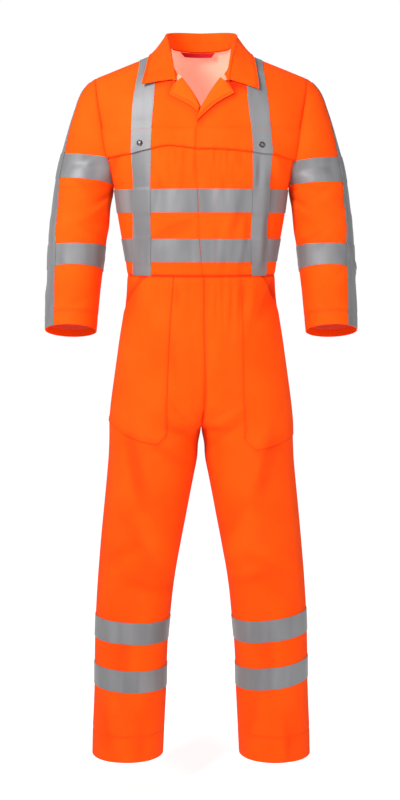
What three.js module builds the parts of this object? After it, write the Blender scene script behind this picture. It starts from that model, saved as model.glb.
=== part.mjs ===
// Boiler suit of bright orange cloth with grey reflecting tape: long sleeves, long legs, open collar.
// Millimetres, +Z up, the front looks along -Y. Zero is midway between the two neck points of the
// shoulders. "right" and "left" are the wearer's: right is -X. Every wall is a thin closed shell round
// a hollow that stays open at the neck, the cuffs and the hems.
import * as THREE from 'three';

// Thickness of the cloths and the distances between pieces.
const CLOTH = 1.5;
const POCKET_CLOTH = 1.2;
const TAPE = 1.0;
const LABEL_CLOTH = 1.0;
const LAY = 0.3;
const SEAM_INSET = 0.17;
const LAP_DIP = 2.0;
const FLY_FLAT = 32;
const SLEEVE_GAP = 0.4;
const ARMPIT_GAP = 2.2;

// Levels of the bodice.
const WAIST_Z = -507;
const ARMPIT_Z = -316;
const ROLL_Z = -184;
const NECK_HALF = 67;
const SHOULDER_TIP = { x: 238, z: -67 };
const NECK_BACK_Y = 75;
const NECK_BACK_Z = -1;
const SECTION_POWER = 2.3;

// Half width and the depth in front of and behind the side line, by height.
const TORSO = [
  { z: -507, half: 169, front: 112, back: 108 },
  { z: -476, half: 173, front: 115, back: 108 },
  { z: -425, half: 181.5, front: 119, back: 110 },
  { z: -367, half: 191, front: 123, back: 113 },
  { z: -316, half: 197, front: 125, back: 116 },
  { z: -262, half: 205, front: 124, back: 118 },
  { z: -230, half: 211, front: 122, back: 118 },
  { z: -184, half: 219, front: 118, back: 116 },
];

// Front and back edge of the armhole: distance from the middle and from the side line, by height.
const ARMHOLE = [
  { z: -316, x: 197, y: 0 },
  { z: -303, x: 198.5, y: 33 },
  { z: -287, x: 201, y: 48 },
  { z: -262, x: 205, y: 60 },
  { z: -230, x: 211, y: 67 },
  { z: -206, x: 215.5, y: 69 },
  { z: -184, x: 219, y: 68 },
  { z: -125, x: 230, y: 0 },
  { z: -95, x: 235, y: 0 },
  { z: -67, x: 238, y: 0 },
];

// Rows of the bodice: flat rows by height, with the share of the chest flap's wave they follow,
// then rows that roll over the shoulder, by the angle turned.
const BODICE_ROWS = [
  { z: -507, wave: 0 }, { z: -476, wave: 0 }, { z: -425, wave: 0 }, { z: -396, wave: 0 },
  { z: -367, wave: 0 }, { z: -342, wave: 0 }, { z: -316, wave: 0 },
  { z: -303, wave: 0.1 }, { z: -287, wave: 0.3 }, { z: -262, wave: 0.7 }, { z: -230, wave: 1 },
  { z: -206, wave: 0.6 }, { z: -184, wave: 0 },
  { turn: 9 }, { turn: 18 }, { turn: 30 }, { turn: 45 }, { turn: 62 }, { turn: 78 }, { turn: 90 },
];
const ROW = {
  waist: 0, band2Low: 1, band2High: 2, band1Low: 4, armpit: 6, flapLow: 10, flapHigh: 12, top: 19,
};

// Wave of the chest flap's lower edge: rise over the row's own height, by distance from the middle.
const FLAP_WAVE = {
  right: [
    { x: -30, rise: 0 }, { x: 6, rise: 0 }, { x: 45, rise: 5 }, { x: 77, rise: 7 }, { x: 106, rise: 2 },
    { x: 134, rise: -3.5 }, { x: 154, rise: -9 }, { x: 214, rise: -16 },
  ],
  left: [
    { x: -30, rise: 0 }, { x: 32, rise: 0 }, { x: 86, rise: -3.5 }, { x: 112, rise: -6 },
    { x: 134, rise: -8 },
    { x: 154, rise: -9.5 }, { x: 174, rise: -15 }, { x: 214, rise: -26 },
  ],
};

// Edges of the brace tapes: distance from the middle, by height.
const BRACE = {
  right: [
    { z: -507, inner: 112, outer: 154 }, { z: -427, inner: 111, outer: 152 },
    { z: -300, inner: 111, outer: 150 },
    { z: -215, inner: 109, outer: 152 }, { z: -168, inner: 107, outer: 152 },
    { z: -125, inner: 103, outer: 150 },
    { z: -90, inner: 101, outer: 145 }, { z: -40, inner: 101, outer: 137 },
    { z: 0, inner: 101, outer: 137 },
  ],
  left: [
    { z: -507, inner: 113, outer: 146 }, { z: -427, inner: 110, outer: 148 },
    { z: -340, inner: 113, outer: 150 },
    { z: -230, inner: 112, outer: 155 }, { z: -190, inner: 110, outer: 152 },
    { z: -147, inner: 104, outer: 149 },
    { z: -98, inner: 100, outer: 144 }, { z: -40, inner: 101, outer: 137 },
    { z: 0, inner: 101, outer: 137 },
  ],
};

// Front edges, measured towards each side from the middle: the wearer's left front laps over the right.
// Above the lap they are the lines on which the lapels turn.
const FRONT_EDGE = {
  left: [
    { z: -507, x: 6 }, { z: -476, x: 2 }, { z: -426, x: -3 }, { z: -366, x: -5 }, { z: -316, x: -7.5 },
    { z: -231, x: -11 }, { z: -184, x: -10 }, { z: -155, x: -7 }, { z: -137, x: 1 }, { z: -84, x: 34 },
    { z: -55, x: 58 }, { z: -20, x: 64.5 }, { z: 0, x: 67 },
  ],
  right: [
    { z: -184, x: -12 }, { z: -155, x: -6 }, { z: -137, x: 0 }, { z: -84, x: 34 },
    { z: -55, x: 58 }, { z: -20, x: 64.5 }, { z: 0, x: 67 },
  ],
};
const UNDERLAP = 24;
const LAP_SLOPE = 8;
const UNDERLAP_TOP_Z = -180;

// Sleeve rows. In the head each row starts on a row of the armhole and reaches the outer line at the
// height given for each arm; the turn is the angle of its ends round the arm.
const SLEEVE_HEAD = [
  { turn: 90, right: -67, left: -67 }, { turn: 93, right: -76, left: -76 },
  { turn: 96, right: -92, left: -92 },
  { turn: 99, right: -112, left: -112 }, { turn: 102, right: -134, left: -135 },
  { turn: 104, right: -155, left: -157 }, { turn: 106, right: -174, left: -178 },
  { turn: 108, right: -192, left: -197 }, { turn: 112, right: -213, left: -220 },
  { turn: 118, right: -236, left: -243 }, { turn: 128, right: -256, left: -263 },
  { turn: 144, right: -273, left: -281 }, { turn: 158, right: -289, left: -298 },
  { turn: 180, right: -316, left: -318 },
];
// Below the armpit: height, forward shift and forward lean of the row's middle, its inner and outer
// edges and its half depth.
const SLEEVE = [
  { z: -345, shift: 0, lean: 0, inner: 205, outer: 338, depth: 77 },
  { z: -380, shift: 1, lean: 1, inner: 209, outer: 343, depth: 77 },
  { z: -413, shift: 3, lean: 4, inner: 214.5, outer: 346, depth: 77 },
  { z: -443, shift: 6, lean: 7, inner: 218.5, outer: 348, depth: 76.5 },
  { z: -470, shift: 10, lean: 10, inner: 221.5, outer: 349, depth: 76 },
  { z: -497, shift: 16, lean: 13, inner: 225, outer: 350, depth: 75 },
  { z: -533, shift: 25, lean: 15, inner: 229, outer: 351.5, depth: 74.5 },
  { z: -570, shift: 35, lean: 16, inner: 232, outer: 353, depth: 73.5 },
  { z: -602, shift: 44, lean: 16, inner: 235, outer: 354, depth: 72.5 },
  { z: -632, shift: 52, lean: 16, inner: 237.5, outer: 354, depth: 72 },
];
const SLEEVE_ROW = { band1High: 9, band1Low: 12, armpit: 13, band2High: 17, band2Low: 19, cuff: 23 };
const ARMPIT_DEPTH = 77;

// Outer line of the sleeve by height.
const SLEEVE_OUTLINE = [
  { z: -67, x: 238 }, { z: -76, x: 250 }, { z: -92, x: 265 }, { z: -112, x: 276 }, { z: -135, x: 284 },
  { z: -160, x: 292.5 }, { z: -190, x: 302.5 }, { z: -225, x: 313 }, { z: -261, x: 323 },
  { z: -297, x: 330.5 }, { z: -318, x: 334.5 }, { z: -345, x: 338 },
];

// Edges of the stripe down the sleeve: angles round the arm, forward of the outer line, by height.
const STRIPE = [
  { z: -67, front: 8, back: -42 }, { z: -112, front: 14, back: -34 }, { z: -160, front: 20, back: -24 },
  { z: -236, front: 31, back: -10 }, { z: -316, front: 40, back: -1 }, { z: -443, front: 49, back: 8 },
  { z: -632, front: 58, back: 17 },
];
const SLEEVE_CELLS = { front: 6, stripe: 2, back: 6 };

// Trouser sections: centre of the leg's curve, outer edge, depths and roundness, by height.
const TROUSER = [
  { z: -507, centre: 0, outer: 169, front: 112, back: 108, power: 2.3 },
  { z: -530, centre: 0, outer: 170, front: 112, back: 110, power: 2.3 },
  { z: -570, centre: 0, outer: 173, front: 112, back: 115, power: 2.3 },
  { z: -607, centre: 0, outer: 179, front: 113, back: 120, power: 2.28 },
  { z: -660, centre: 3, outer: 188, front: 114, back: 127, power: 2.26 },
  { z: -716, centre: 17, outer: 196, front: 114, back: 130, power: 2.24 },
  { z: -763, centre: 40, outer: 203, front: 113, back: 127, power: 2.2 },
  { z: -809, centre: 69, outer: 209, front: 110, back: 122, power: 2.18 },
  { z: -845, centre: 93, outer: 212.5, front: 107, back: 116, power: 2.16 },
  { z: -868, centre: 107.3, outer: 213.5, front: 105, back: 112, power: 2.15 },
  { z: -925, centre: 112, outer: 216, front: 98, back: 103, power: 2.12 },
  { z: -999, centre: 122.5, outer: 223, front: 92, back: 96, power: 2.1 },
  { z: -1095, centre: 136.5, outer: 233, front: 86, back: 90, power: 2.1 },
  { z: -1191, centre: 150, outer: 242, front: 82, back: 85, power: 2.1 },
  { z: -1289, centre: 160, outer: 249, front: 79, back: 82, power: 2.1 },
  { z: -1387, centre: 166.5, outer: 253, front: 77, back: 80, power: 2.1 },
  { z: -1486, centre: 169, outer: 255, front: 76, back: 79, power: 2.1 },
  { z: -1586, centre: 174, outer: 260, front: 76, back: 79, power: 2.1 },
  { z: -1650, centre: 176.5, outer: 262, front: 76, back: 80, power: 2.1 },
];
const CROTCH_Z = -868;

// Rows of a leg: height and the share of the pocket's lower edge they follow.
const LEG_ROWS = [
  { z: -507, warp: 0 }, { z: -530, warp: 0 }, { z: -556, warp: 0 }, { z: -580, warp: 0 },
  { z: -604, warp: 0 },
  { z: -650, warp: 0 }, { z: -698, warp: 0 }, { z: -742, warp: 0 }, { z: -780, warp: 0 },
  { z: -815, warp: 0.25 }, { z: -843, warp: 0.6 }, { z: -868, warp: 1 }, { z: -896, warp: 0.6 },
  { z: -930, warp: 0.25 }, { z: -970, warp: 0 }, { z: -1025, warp: 0 }, { z: -1080, warp: 0 },
  { z: -1135, warp: 0 }, { z: -1190, warp: 0 }, { z: -1247, warp: 0 },
];
const LEG_BANDS = {
  right: { highs: [-1309, -1425.5], tilt: 0.045, drop: 52 },
  left: { highs: [-1302, -1417], tilt: 0.12, drop: 52 },
};
const HEM_ROWS = [{ z: -1530 }, { z: -1590 }, { z: -1649 }];
const LEG_ROW = { crotch: 11, bands: [20, 23], hem: 27 };

// Lower edge of each thigh pocket and its edge towards the middle.
const POCKET_LOW = {
  right: [
    { x: 0, z: -868 }, { x: 30, z: -868 }, { x: 78, z: -864 }, { x: 101, z: -887 }, { x: 136, z: -880 },
    { x: 169, z: -868 }, { x: 197, z: -851 }, { x: 216, z: -842 },
  ],
  left: [
    { x: 0, z: -868 }, { x: 30, z: -868 }, { x: 97, z: -874 }, { x: 123, z: -899 }, { x: 160, z: -894 },
    { x: 203, z: -880 }, { x: 217, z: -872 },
  ],
};
const POCKET_INNER = {
  right: [{ z: -507, x: 61 }, { z: -650, x: 70 }, { z: -800, x: 77 }, { z: -868, x: 78 }],
  left: [{ z: -507, x: 88 }, { z: -650, x: 92 }, { z: -800, x: 95 }, { z: -868, x: 97 }],
};
const LEG_CELLS = { toPocket: 3, pocket: 6, back: 8 };
const FLY_LOW_Z = -786;
const LEG_MIDDLE = Math.PI * 0.6;

// Fly edge on the trousers, by height, towards the wearer's left.
const TROUSER_FLY = [
  { z: -507, x: 6 }, { z: -560, x: 5.5 }, { z: -650, x: 6 }, { z: -756, x: 9 }, { z: -800, x: 8 },
  { z: -843, x: 3 }, { z: -868, x: 1 },
];

// Largest folds: middle in x and z on one face, angle of the crease from level, half length, half width
// and height over the cloth. face -1 is the front, 1 the back.
const FOLDS = [
  { face: -1, x: 60, z: -560, angle: 88, length: 60, width: 13, height: 2.4 },
  { face: -1, x: 96, z: -590, angle: 84, length: 80, width: 20, height: 3.2 },
  { face: -1, x: 24, z: -640, angle: 92, length: 90, width: 16, height: 2.2 },
  { face: -1, x: -60, z: -640, angle: 86, length: 110, width: 34, height: 2.6 },
  { face: -1, x: 62, z: -820, angle: 28, length: 70, width: 20, height: 3.2 },
  { face: -1, x: -60, z: -822, angle: 152, length: 70, width: 20, height: 3.2 },
  { face: -1, x: 118, z: -1010, angle: 74, length: 130, width: 34, height: 4 },
  { face: -1, x: -132, z: -1030, angle: 106, length: 140, width: 36, height: 3.6 },
  { face: -1, x: 140, z: -1180, angle: 18, length: 60, width: 26, height: -3 },
  { face: -1, x: -150, z: -1200, angle: 160, length: 60, width: 28, height: -3 },
  { face: -1, x: 182, z: -1560, angle: 86, length: 90, width: 24, height: 3 },
  { face: -1, x: -160, z: -1560, angle: 95, length: 90, width: 26, height: 3 },
  { face: -1, x: 92, z: -270, angle: 82, length: 60, width: 17, height: 2.4 },
  { face: -1, x: -60, z: -285, angle: 95, length: 60, width: 22, height: 2.2 },
  { face: -1, x: 62, z: -425, angle: 90, length: 60, width: 18, height: 2.2 },
  { face: 1, x: 70, z: -430, angle: 20, length: 80, width: 24, height: 3.6 },
  { face: 1, x: -66, z: -455, angle: 162, length: 84, width: 22, height: 3.8 },
  { face: 1, x: 20, z: -250, angle: 84, length: 90, width: 30, height: 3 },
  { face: 1, x: 96, z: -830, angle: 32, length: 80, width: 24, height: 4 },
  { face: 1, x: -92, z: -836, angle: 147, length: 84, width: 24, height: 4 },
  { face: 1, x: 150, z: -1150, angle: 14, length: 70, width: 24, height: 3.6 },
  { face: 1, x: -152, z: -1172, angle: 168, length: 70, width: 24, height: 3.6 },
];

// Largest folds of the sleeves: angle round the arm (forward positive), height, climb of the crease in
// millimetres per degree, half length in degrees, half width and height over the cloth.
const SLEEVE_FOLDS = {
  right: [
    { at: 70, z: -395, climb: 0.5, length: 55, width: 17, height: 3.2 },
    { at: 96, z: -540, climb: -0.35, length: 50, width: 18, height: 3 },
    { at: -70, z: -430, climb: 0.4, length: 60, width: 18, height: 3.4 },
    { at: 150, z: -410, climb: 0.3, length: 40, width: 16, height: 3 },
  ],
  left: [
    { at: 76, z: -385, climb: 0.45, length: 55, width: 18, height: 3 },
    { at: 100, z: -552, climb: -0.3, length: 50, width: 18, height: 3 },
    { at: -66, z: -445, climb: 0.45, length: 60, width: 18, height: 3.4 },
    { at: 148, z: -420, climb: 0.3, length: 40, width: 16, height: 3 },
  ],
};

// Collar, half of it from the middle of the back (0) to its front end (1): the top fold and the outer edge.
const COLLAR = [
  { s: 0, foldX: 0, foldY: 79, foldZ: 43, edgeX: 0, edgeY: 104, edgeZ: -14 },
  { s: 0.2, foldX: 43, foldY: 67, foldZ: 42.5, edgeX: 56, edgeY: 92, edgeZ: -14 },
  { s: 0.35, foldX: 68, foldY: 42, foldZ: 38.5, edgeX: 91, edgeY: 58, edgeZ: -12 },
  { s: 0.5, foldX: 79.5, foldY: 10, foldZ: 30, edgeX: 107, edgeY: 12, edgeZ: -11 },
  { s: 0.65, foldX: 76, foldY: -26, foldZ: 6, edgeX: 117, edgeY: -34, edgeZ: -24 },
  { s: 0.8, foldX: 69, foldY: -66, foldZ: -24, edgeX: 122, edgeY: -70, edgeZ: -54 },
  { s: 0.92, foldX: 63, foldY: -92, foldZ: -58, edgeX: 127, edgeY: -92, edgeZ: -78 },
  { s: 1, foldX: 60, foldY: -104, foldZ: -82, edgeX: 129, edgeY: -100, edgeZ: -92 },
];
const COLLAR_TIP_SHIFT = { right: { x: 1, z: 2 }, left: { x: -3, z: -8 } };
const COLLAR_CELLS = 12;
const COLLAR_WALL = 1.6;
const FOLD_RADIUS = 3;
const COLLAR_LIFT = 4.2;
const COLLAR_NECK_GAP = 1.9;
const COLLAR_STEPS = { stand: [0, 0.35, 0.7, 1], fall: [0, 0.3, 0.65, 1] };
const NOTCH_Z = -66;

// Turned lapel: outer edge of each, from its low end to the notch, with the turn line beside it.
const LAPEL = {
  left: [
    { turnX: -8.6, turnZ: -163, edgeX: -9.2, edgeZ: -168 },
    { turnX: 1, turnZ: -138, edgeX: 8, edgeZ: -152 },
    { turnX: 16, turnZ: -113, edgeX: 36, edgeZ: -129 }, { turnX: 31, turnZ: -89, edgeX: 72, edgeZ: -109 },
    { turnX: 42, turnZ: -75, edgeX: 60, edgeZ: -89 },
  ],
  right: [
    { turnX: 4, turnZ: -139, edgeX: 7.5, edgeZ: -149 }, { turnX: 12, turnZ: -119, edgeX: 22, edgeZ: -137 },
    { turnX: 21, turnZ: -105, edgeX: 44, edgeZ: -125 }, { turnX: 31, turnZ: -89, edgeX: 69, edgeZ: -112 },
    { turnX: 42, turnZ: -75, edgeX: 60, edgeZ: -89 },
  ],
};
const LAPEL_STEPS = 4;
const LAPEL_LIFT = { turn: 1.1, edge: 2.4 };
const LAPEL_BULGE = 2.4;
const LAPEL_WALL = 1.5;

// Neck label: top and bottom edges, hanging inside the back of the neck.
const LABEL_CELLS = 6;
const LABEL_IN = 3.7;
const LABEL = { topLeft: -48, topRight: 32, lowLeft: -37.5, lowRight: 24, topZ: -2.2, lowZ: -12.5 };

// Press studs on the brace tapes.
const STUDS = { right: { x: 133, z: -217 }, left: { x: 132, z: -220.5 } };
const STUD = { base: 4.95, outer: 6.5, inner: 4.4, cap: 4.1, height: 1.8, capHeight: 2.4, sides: 12 };

const SIDE = { right: -1, left: 1 };
const rad = THREE.MathUtils.degToRad;

const COLOURS = {
  orange: new THREE.MeshStandardMaterial({ color: '#ff5a0f', roughness: 0.85, metalness: 0 }),
  facing: new THREE.MeshStandardMaterial({ color: '#ff7a2e', roughness: 0.85, metalness: 0 }),
  tape: new THREE.MeshStandardMaterial({ color: '#a3a3a6', roughness: 0.45, metalness: 0.1 }),
  label: new THREE.MeshStandardMaterial({ color: '#c40a1c', roughness: 0.7, metalness: 0 }),
  ring: new THREE.MeshStandardMaterial({ color: '#3c3434', roughness: 0.4, metalness: 0.8 }),
  cap: new THREE.MeshStandardMaterial({ color: '#a9a7a5', roughness: 0.3, metalness: 0.9 }),
};

// Value of one column of a table at a key, on a smooth curve through the rows.
function at(table, key, column, by = 'z') {
  const rising = table[table.length - 1][by] > table[0][by];
  let low = 0;
  while (low < table.length - 2 && (rising ? key > table[low + 1][by] : key < table[low + 1][by])) {
    low += 1;
  }
  const a = table[low];
  const b = table[low + 1];
  const span = b[by] - a[by];
  const t = Math.min(1, Math.max(0, (key - a[by]) / span));
  const slope = (i) => {
    const before = table[Math.max(0, i - 1)];
    const after = table[Math.min(table.length - 1, i + 1)];
    return (after[column] - before[column]) / (after[by] - before[by]);
  };
  const m0 = slope(low) * span;
  const m1 = slope(low + 1) * span;
  const t2 = t * t;
  const t3 = t2 * t;
  return (2 * t3 - 3 * t2 + 1) * a[column] + (t3 - 2 * t2 + t) * m0
    + (3 * t2 - 2 * t3) * b[column] + (t3 - t2) * m1;
}

// Straight-line value between the rows of a table.
function straight(table, key, column, by) {
  let low = 0;
  while (low < table.length - 2 && key > table[low + 1][by]) {
    low += 1;
  }
  const t = (key - table[low][by]) / (table[low + 1][by] - table[low][by]);
  return table[low][column] + (table[low + 1][column] - table[low][column]) * Math.min(1, Math.max(0, t));
}

const mix = (a, b, t) => a + (b - a) * t;

// Rise of the cloth over its plain form at a point of one face. The fly stays flat.
function foldRise(face, x, z) {
  const still = face < 0 ? Math.min(1, Math.max(0, (Math.abs(x) - FLY_FLAT) / FLY_FLAT)) : 1;
  let rise = 0;
  for (const fold of FOLDS) {
    if (fold.face === face) {
      const c = Math.cos(rad(fold.angle));
      const s = Math.sin(rad(fold.angle));
      const along = ((x - fold.x) * c + (z - fold.z) * s) / fold.length;
      const across = (-(x - fold.x) * s + (z - fold.z) * c) / fold.width;
      rise += fold.height * Math.exp(-along * along - across * across);
    }
  }
  return rise * still;
}

// Shells are cut from a surface: shared points with one normal each, and triangles picked from it.
class Surface {
  constructor() {
    this.points = [];
    this.normals = [];
    this.keys = new Map();
    this.triangles = [];
  }

  point(p) {
    const key = p.map((v) => Math.round(v * 500)).join(',');
    if (!this.keys.has(key)) {
      this.keys.set(key, this.points.length);
      this.points.push(new THREE.Vector3(...p));
    }
    return this.keys.get(key);
  }

  // A grid of points becomes cells of two triangles each; the result lists them by row and column.
  grid(points, flip) {
    const index = points.map((row) => row.map((p) => this.point(p)));
    const cells = [];
    for (let r = 0; r + 1 < index.length; r += 1) {
      cells.push([]);
      for (let c = 0; c + 1 < index[r].length; c += 1) {
        const [a, b] = [index[r][c], index[r][c + 1]];
        const [d, e] = [index[r + 1][c], index[r + 1][c + 1]];
        const near = flip ? [a, e, d] : [a, d, e];
        const far = flip ? [a, b, e] : [a, e, b];
        const kept = [near, far].map((t) => (new Set(t).size === 3 ? t : null));
        cells[r].push(kept);
        this.triangles.push(...kept.filter((t) => t));
      }
    }
    return { index, cells };
  }

  finish(levels) {
    this.normals = this.points.map(() => new THREE.Vector3());
    for (const [a, b, c] of this.triangles) {
      const ab = this.points[b].clone().sub(this.points[a]);
      const ac = this.points[c].clone().sub(this.points[a]);
      const normal = ab.cross(ac);
      [a, b, c].forEach((i) => this.normals[i].add(normal));
    }
    this.normals.forEach((normal, i) => {
      if (levels.some((z) => Math.abs(this.points[i].z - z) < 0.01)) {
        normal.z = 0;
      }
      if (Math.abs(this.points[i].y) < 0.01) {
        normal.y = 0;
      }
      normal.normalize();
    });
  }
}

// Triangles of a block of cells.
function block(sheet, rowFrom, rowTo, colFrom, colTo) {
  const picked = [];
  for (let r = rowFrom; r < rowTo; r += 1) {
    for (let c = colFrom; c < colTo; c += 1) {
      picked.push(...sheet.cells[r][c].filter((t) => t));
    }
  }
  return picked;
}

const asOffset = (value) => (typeof value === 'function' ? value : () => value);

// Closed wall over the picked triangles, between two distances from the surface. Its rim is drawn in
// from the pieces beside it.
function shell(name, material, surface, picked, outer, inner) {
  const directed = new Set(picked.flatMap(([a, b, c]) => [`${a},${b}`, `${b},${c}`, `${c},${a}`]));
  const edges = [...directed].map((key) => key.split(',').map(Number));
  const rim = edges.filter(([a, b]) => !directed.has(`${b},${a}`));
  const pulls = new Map();
  for (const [a, b] of rim) {
    const edge = surface.points[b].clone().sub(surface.points[a]);
    for (const i of [a, b]) {
      const pull = surface.normals[i].clone().cross(edge).normalize();
      pulls.set(i, [...(pulls.get(i) ?? []), pull]);
    }
  }
  const used = [...new Set(picked.flat())];
  const order = new Map(used.map((i, n) => [i, n]));
  const positions = [];
  for (const offset of [asOffset(outer), asOffset(inner)]) {
    for (const i of used) {
      const p = surface.points[i].clone().addScaledVector(surface.normals[i], offset(i));
      const list = pulls.get(i);
      if (list) {
        const middle = list.reduce((sum, v) => sum.add(v), new THREE.Vector3()).normalize();
        p.addScaledVector(middle, SEAM_INSET / Math.max(0.45, middle.dot(list[0])));
      }
      positions.push(p.x, p.y, p.z);
    }
  }
  const faces = [];
  const far = used.length;
  for (const [a, b, c] of picked.map((t) => t.map((i) => order.get(i)))) {
    faces.push(a, b, c, far + a, far + c, far + b);
  }
  for (const [a, b] of rim.map((pair) => pair.map((i) => order.get(i)))) {
    faces.push(a, far + b, b, a, far + a, far + b);
  }
  return solid(name, material, positions, faces);
}

function solid(name, material, positions, faces) {
  const geometry = new THREE.BufferGeometry();
  geometry.setAttribute('position', new THREE.Float32BufferAttribute(positions, 3));
  geometry.setIndex(faces);
  geometry.computeVertexNormals();
  const mesh = new THREE.Mesh(geometry, material);
  mesh.name = name;
  return mesh;
}

// Half width of the full section that passes through the armhole's edge.
function sectionHalf(face, z) {
  const depth = at(TORSO, z, face < 0 ? 'front' : 'back');
  if (z <= ARMPIT_Z) {
    return at(TORSO, z, 'half');
  }
  const share = (at(ARMHOLE, z, 'y') / depth) ** SECTION_POWER;
  return at(ARMHOLE, z, 'x') / (1 - share) ** (1 / SECTION_POWER);
}

// Depth of the bodice from the side line at a distance from the middle.
function flatDepth(face, x, z) {
  const depth = at(TORSO, z, face < 0 ? 'front' : 'back');
  const share = Math.min(1, Math.abs(x) / sectionHalf(face, z));
  return depth * (1 - share ** SECTION_POWER) ** (1 / SECTION_POWER);
}

const SHOULDER_FALL = SHOULDER_TIP.z / (SHOULDER_TIP.x - NECK_HALF);
const shoulderZ = (x) => Math.max(0, Math.abs(x) - NECK_HALF) * SHOULDER_FALL;

// Where the bodice ends at the top: the shoulder seam, and the neck seam behind the neck.
function topEdge(face, x) {
  if (Math.abs(x) >= NECK_HALF || face < 0) {
    return { y: 0, z: shoulderZ(x) };
  }
  const share = Math.abs(x) / NECK_HALF;
  return { y: NECK_BACK_Y * Math.sqrt(1 - share ** 2), z: NECK_BACK_Z * (1 - share) };
}

// Point of the bodice at a distance from the middle on one of its rows. dip sinks it inwards.
function bodicePoint(face, sideName, x, row, dip = 0) {
  const sx = SIDE[sideName] * x;
  if (row.turn === undefined) {
    const z = row.z + row.wave * at(FLAP_WAVE[sideName], x, 'rise', 'x');
    const depth = flatDepth(face, x, z);
    const free = Math.min(1, depth / 45) * Math.min(1, (z - WAIST_Z) / 30);
    return [sx, face * (depth + foldRise(face, sx, z) * free - dip), z];
  }
  const top = topEdge(face, x);
  const turn = rad(row.turn);
  const low = flatDepth(face, x, ROLL_Z);
  const z = ROLL_Z + (top.z - ROLL_Z) * Math.sin(turn);
  return [sx, face * (top.y + (low - top.y) * Math.cos(turn) - dip), z];
}

// Height of a row where its top is at a given height.
function rowHeight(row, top = 0) {
  return row.turn === undefined ? row.z : ROLL_Z + (top - ROLL_Z) * Math.sin(rad(row.turn));
}

// Distance of the armhole or side seam from the middle on a row.
function edgeX(sideName, row) {
  if (row.turn === undefined) {
    if (row.z <= ARMPIT_Z) {
      return at(TORSO, row.z, 'half');
    }
    const rise = FLAP_WAVE[sideName][FLAP_WAVE[sideName].length - 1].rise;
    return at(ARMHOLE, row.z + row.wave * rise, 'x');
  }
  let x = at(ARMHOLE, ROLL_Z, 'x');
  for (let pass = 0; pass < 6; pass += 1) {
    x = at(ARMHOLE, rowHeight(row, shoulderZ(x)), 'x');
  }
  return x;
}

// Columns from the outer edge of the brace tape to the armhole or side seam, evenly round the section.
function outerColumns(face, sideName, row, from, count) {
  const z = row.turn === undefined ? row.z : ROLL_Z;
  const half = sectionHalf(face, z);
  const end = Math.min(half, edgeX(sideName, row));
  const angle = (x) => Math.asin(Math.min(1, (x / half) ** (SECTION_POWER / 2)));
  const columns = [];
  for (let i = 1; i <= count; i += 1) {
    const turned = mix(angle(from), angle(end), i / count);
    columns.push(i === count ? end : half * Math.sin(turned) ** (2 / SECTION_POWER));
  }
  return columns;
}

// Brace tape edges on a row.
function braceColumns(sideName, row) {
  const z = rowHeight(row, -20);
  const inner = at(BRACE[sideName], z, 'inner');
  const outer = at(BRACE[sideName], z, 'outer');
  return [inner, (inner + outer) / 2, outer];
}

const OUTER_CELLS = 3;
const BACK_NECK_COLUMNS = [0.5, 0.78, 0.94, 1];
const COL = { left: { lap: 0, brace: 3 }, right: { lap: 1, brace: 5 } };

function frontRow(sideName, row) {
  const z = rowHeight(row);
  const brace = braceColumns(sideName, row);
  const tail = outerColumns(-1, sideName, row, brace[2], OUTER_CELLS);
  let start;
  let dips = [];
  if (sideName === 'left') {
    const edge = at(FRONT_EDGE.left, z, 'x');
    start = [edge, mix(edge, brace[0], 1 / 3), mix(edge, brace[0], 2 / 3)];
  } else if (z < UNDERLAP_TOP_Z) {
    const edge = -at(FRONT_EDGE.left, z, 'x');
    const clear = edge + LAP_SLOPE;
    start = [edge - UNDERLAP, edge + 1, clear, mix(clear, brace[0], 0.36), mix(clear, brace[0], 0.7)];
    dips = [LAP_DIP, LAP_DIP];
  } else {
    const edge = at(FRONT_EDGE.right, z, 'x');
    const step = (brace[0] - edge) / 5;
    start = [0, 0.6, 1.5, 2.7, 3.9].map((n) => edge + step * n);
    dips = z < -120 ? [LAP_DIP, LAP_DIP * 0.8] : [];
  }
  return [...start, ...brace, ...tail].map((x, i) => bodicePoint(-1, sideName, x, row, dips[i] ?? 0));
}

function backRow(row) {
  const half = (sideName) => {
    const brace = braceColumns(sideName, row);
    const inner = BACK_NECK_COLUMNS.map((share) => share * NECK_HALF);
    return [...inner, ...brace, ...outerColumns(1, sideName, row, brace[2], OUTER_CELLS)];
  };
  const right = half('right').reverse().map((x) => bodicePoint(1, 'right', x, row));
  const left = half('left').map((x) => bodicePoint(1, 'left', x, row));
  return [...right, bodicePoint(1, 'left', 0, row), ...left];
}

const suit = new THREE.Group();
suit.name = 'boiler_suit';
const put = (...meshes) => suit.add(...meshes);

// Bodice.
const bodice = new Surface();
const front = {
  left: bodice.grid(BODICE_ROWS.map((row) => frontRow('left', row)), true),
  right: bodice.grid(BODICE_ROWS.map((row) => frontRow('right', row)), false),
};
const back = bodice.grid(BODICE_ROWS.map(backRow), false);
bodice.finish([WAIST_Z]);
const lastCol = (sheet) => sheet.index[0].length - 1;

for (const name of ['right', 'left']) {
  const sheet = front[name];
  const panel = block(sheet, 0, ROW.top, 0, lastCol(sheet));
  put(shell(`bodice_front_${name}`, COLOURS.orange, bodice, panel, 0, -CLOTH));
}
put(shell('bodice_back', COLOURS.orange, bodice, block(back, 0, ROW.top, 0, lastCol(back)), 0, -CLOTH));

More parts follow.
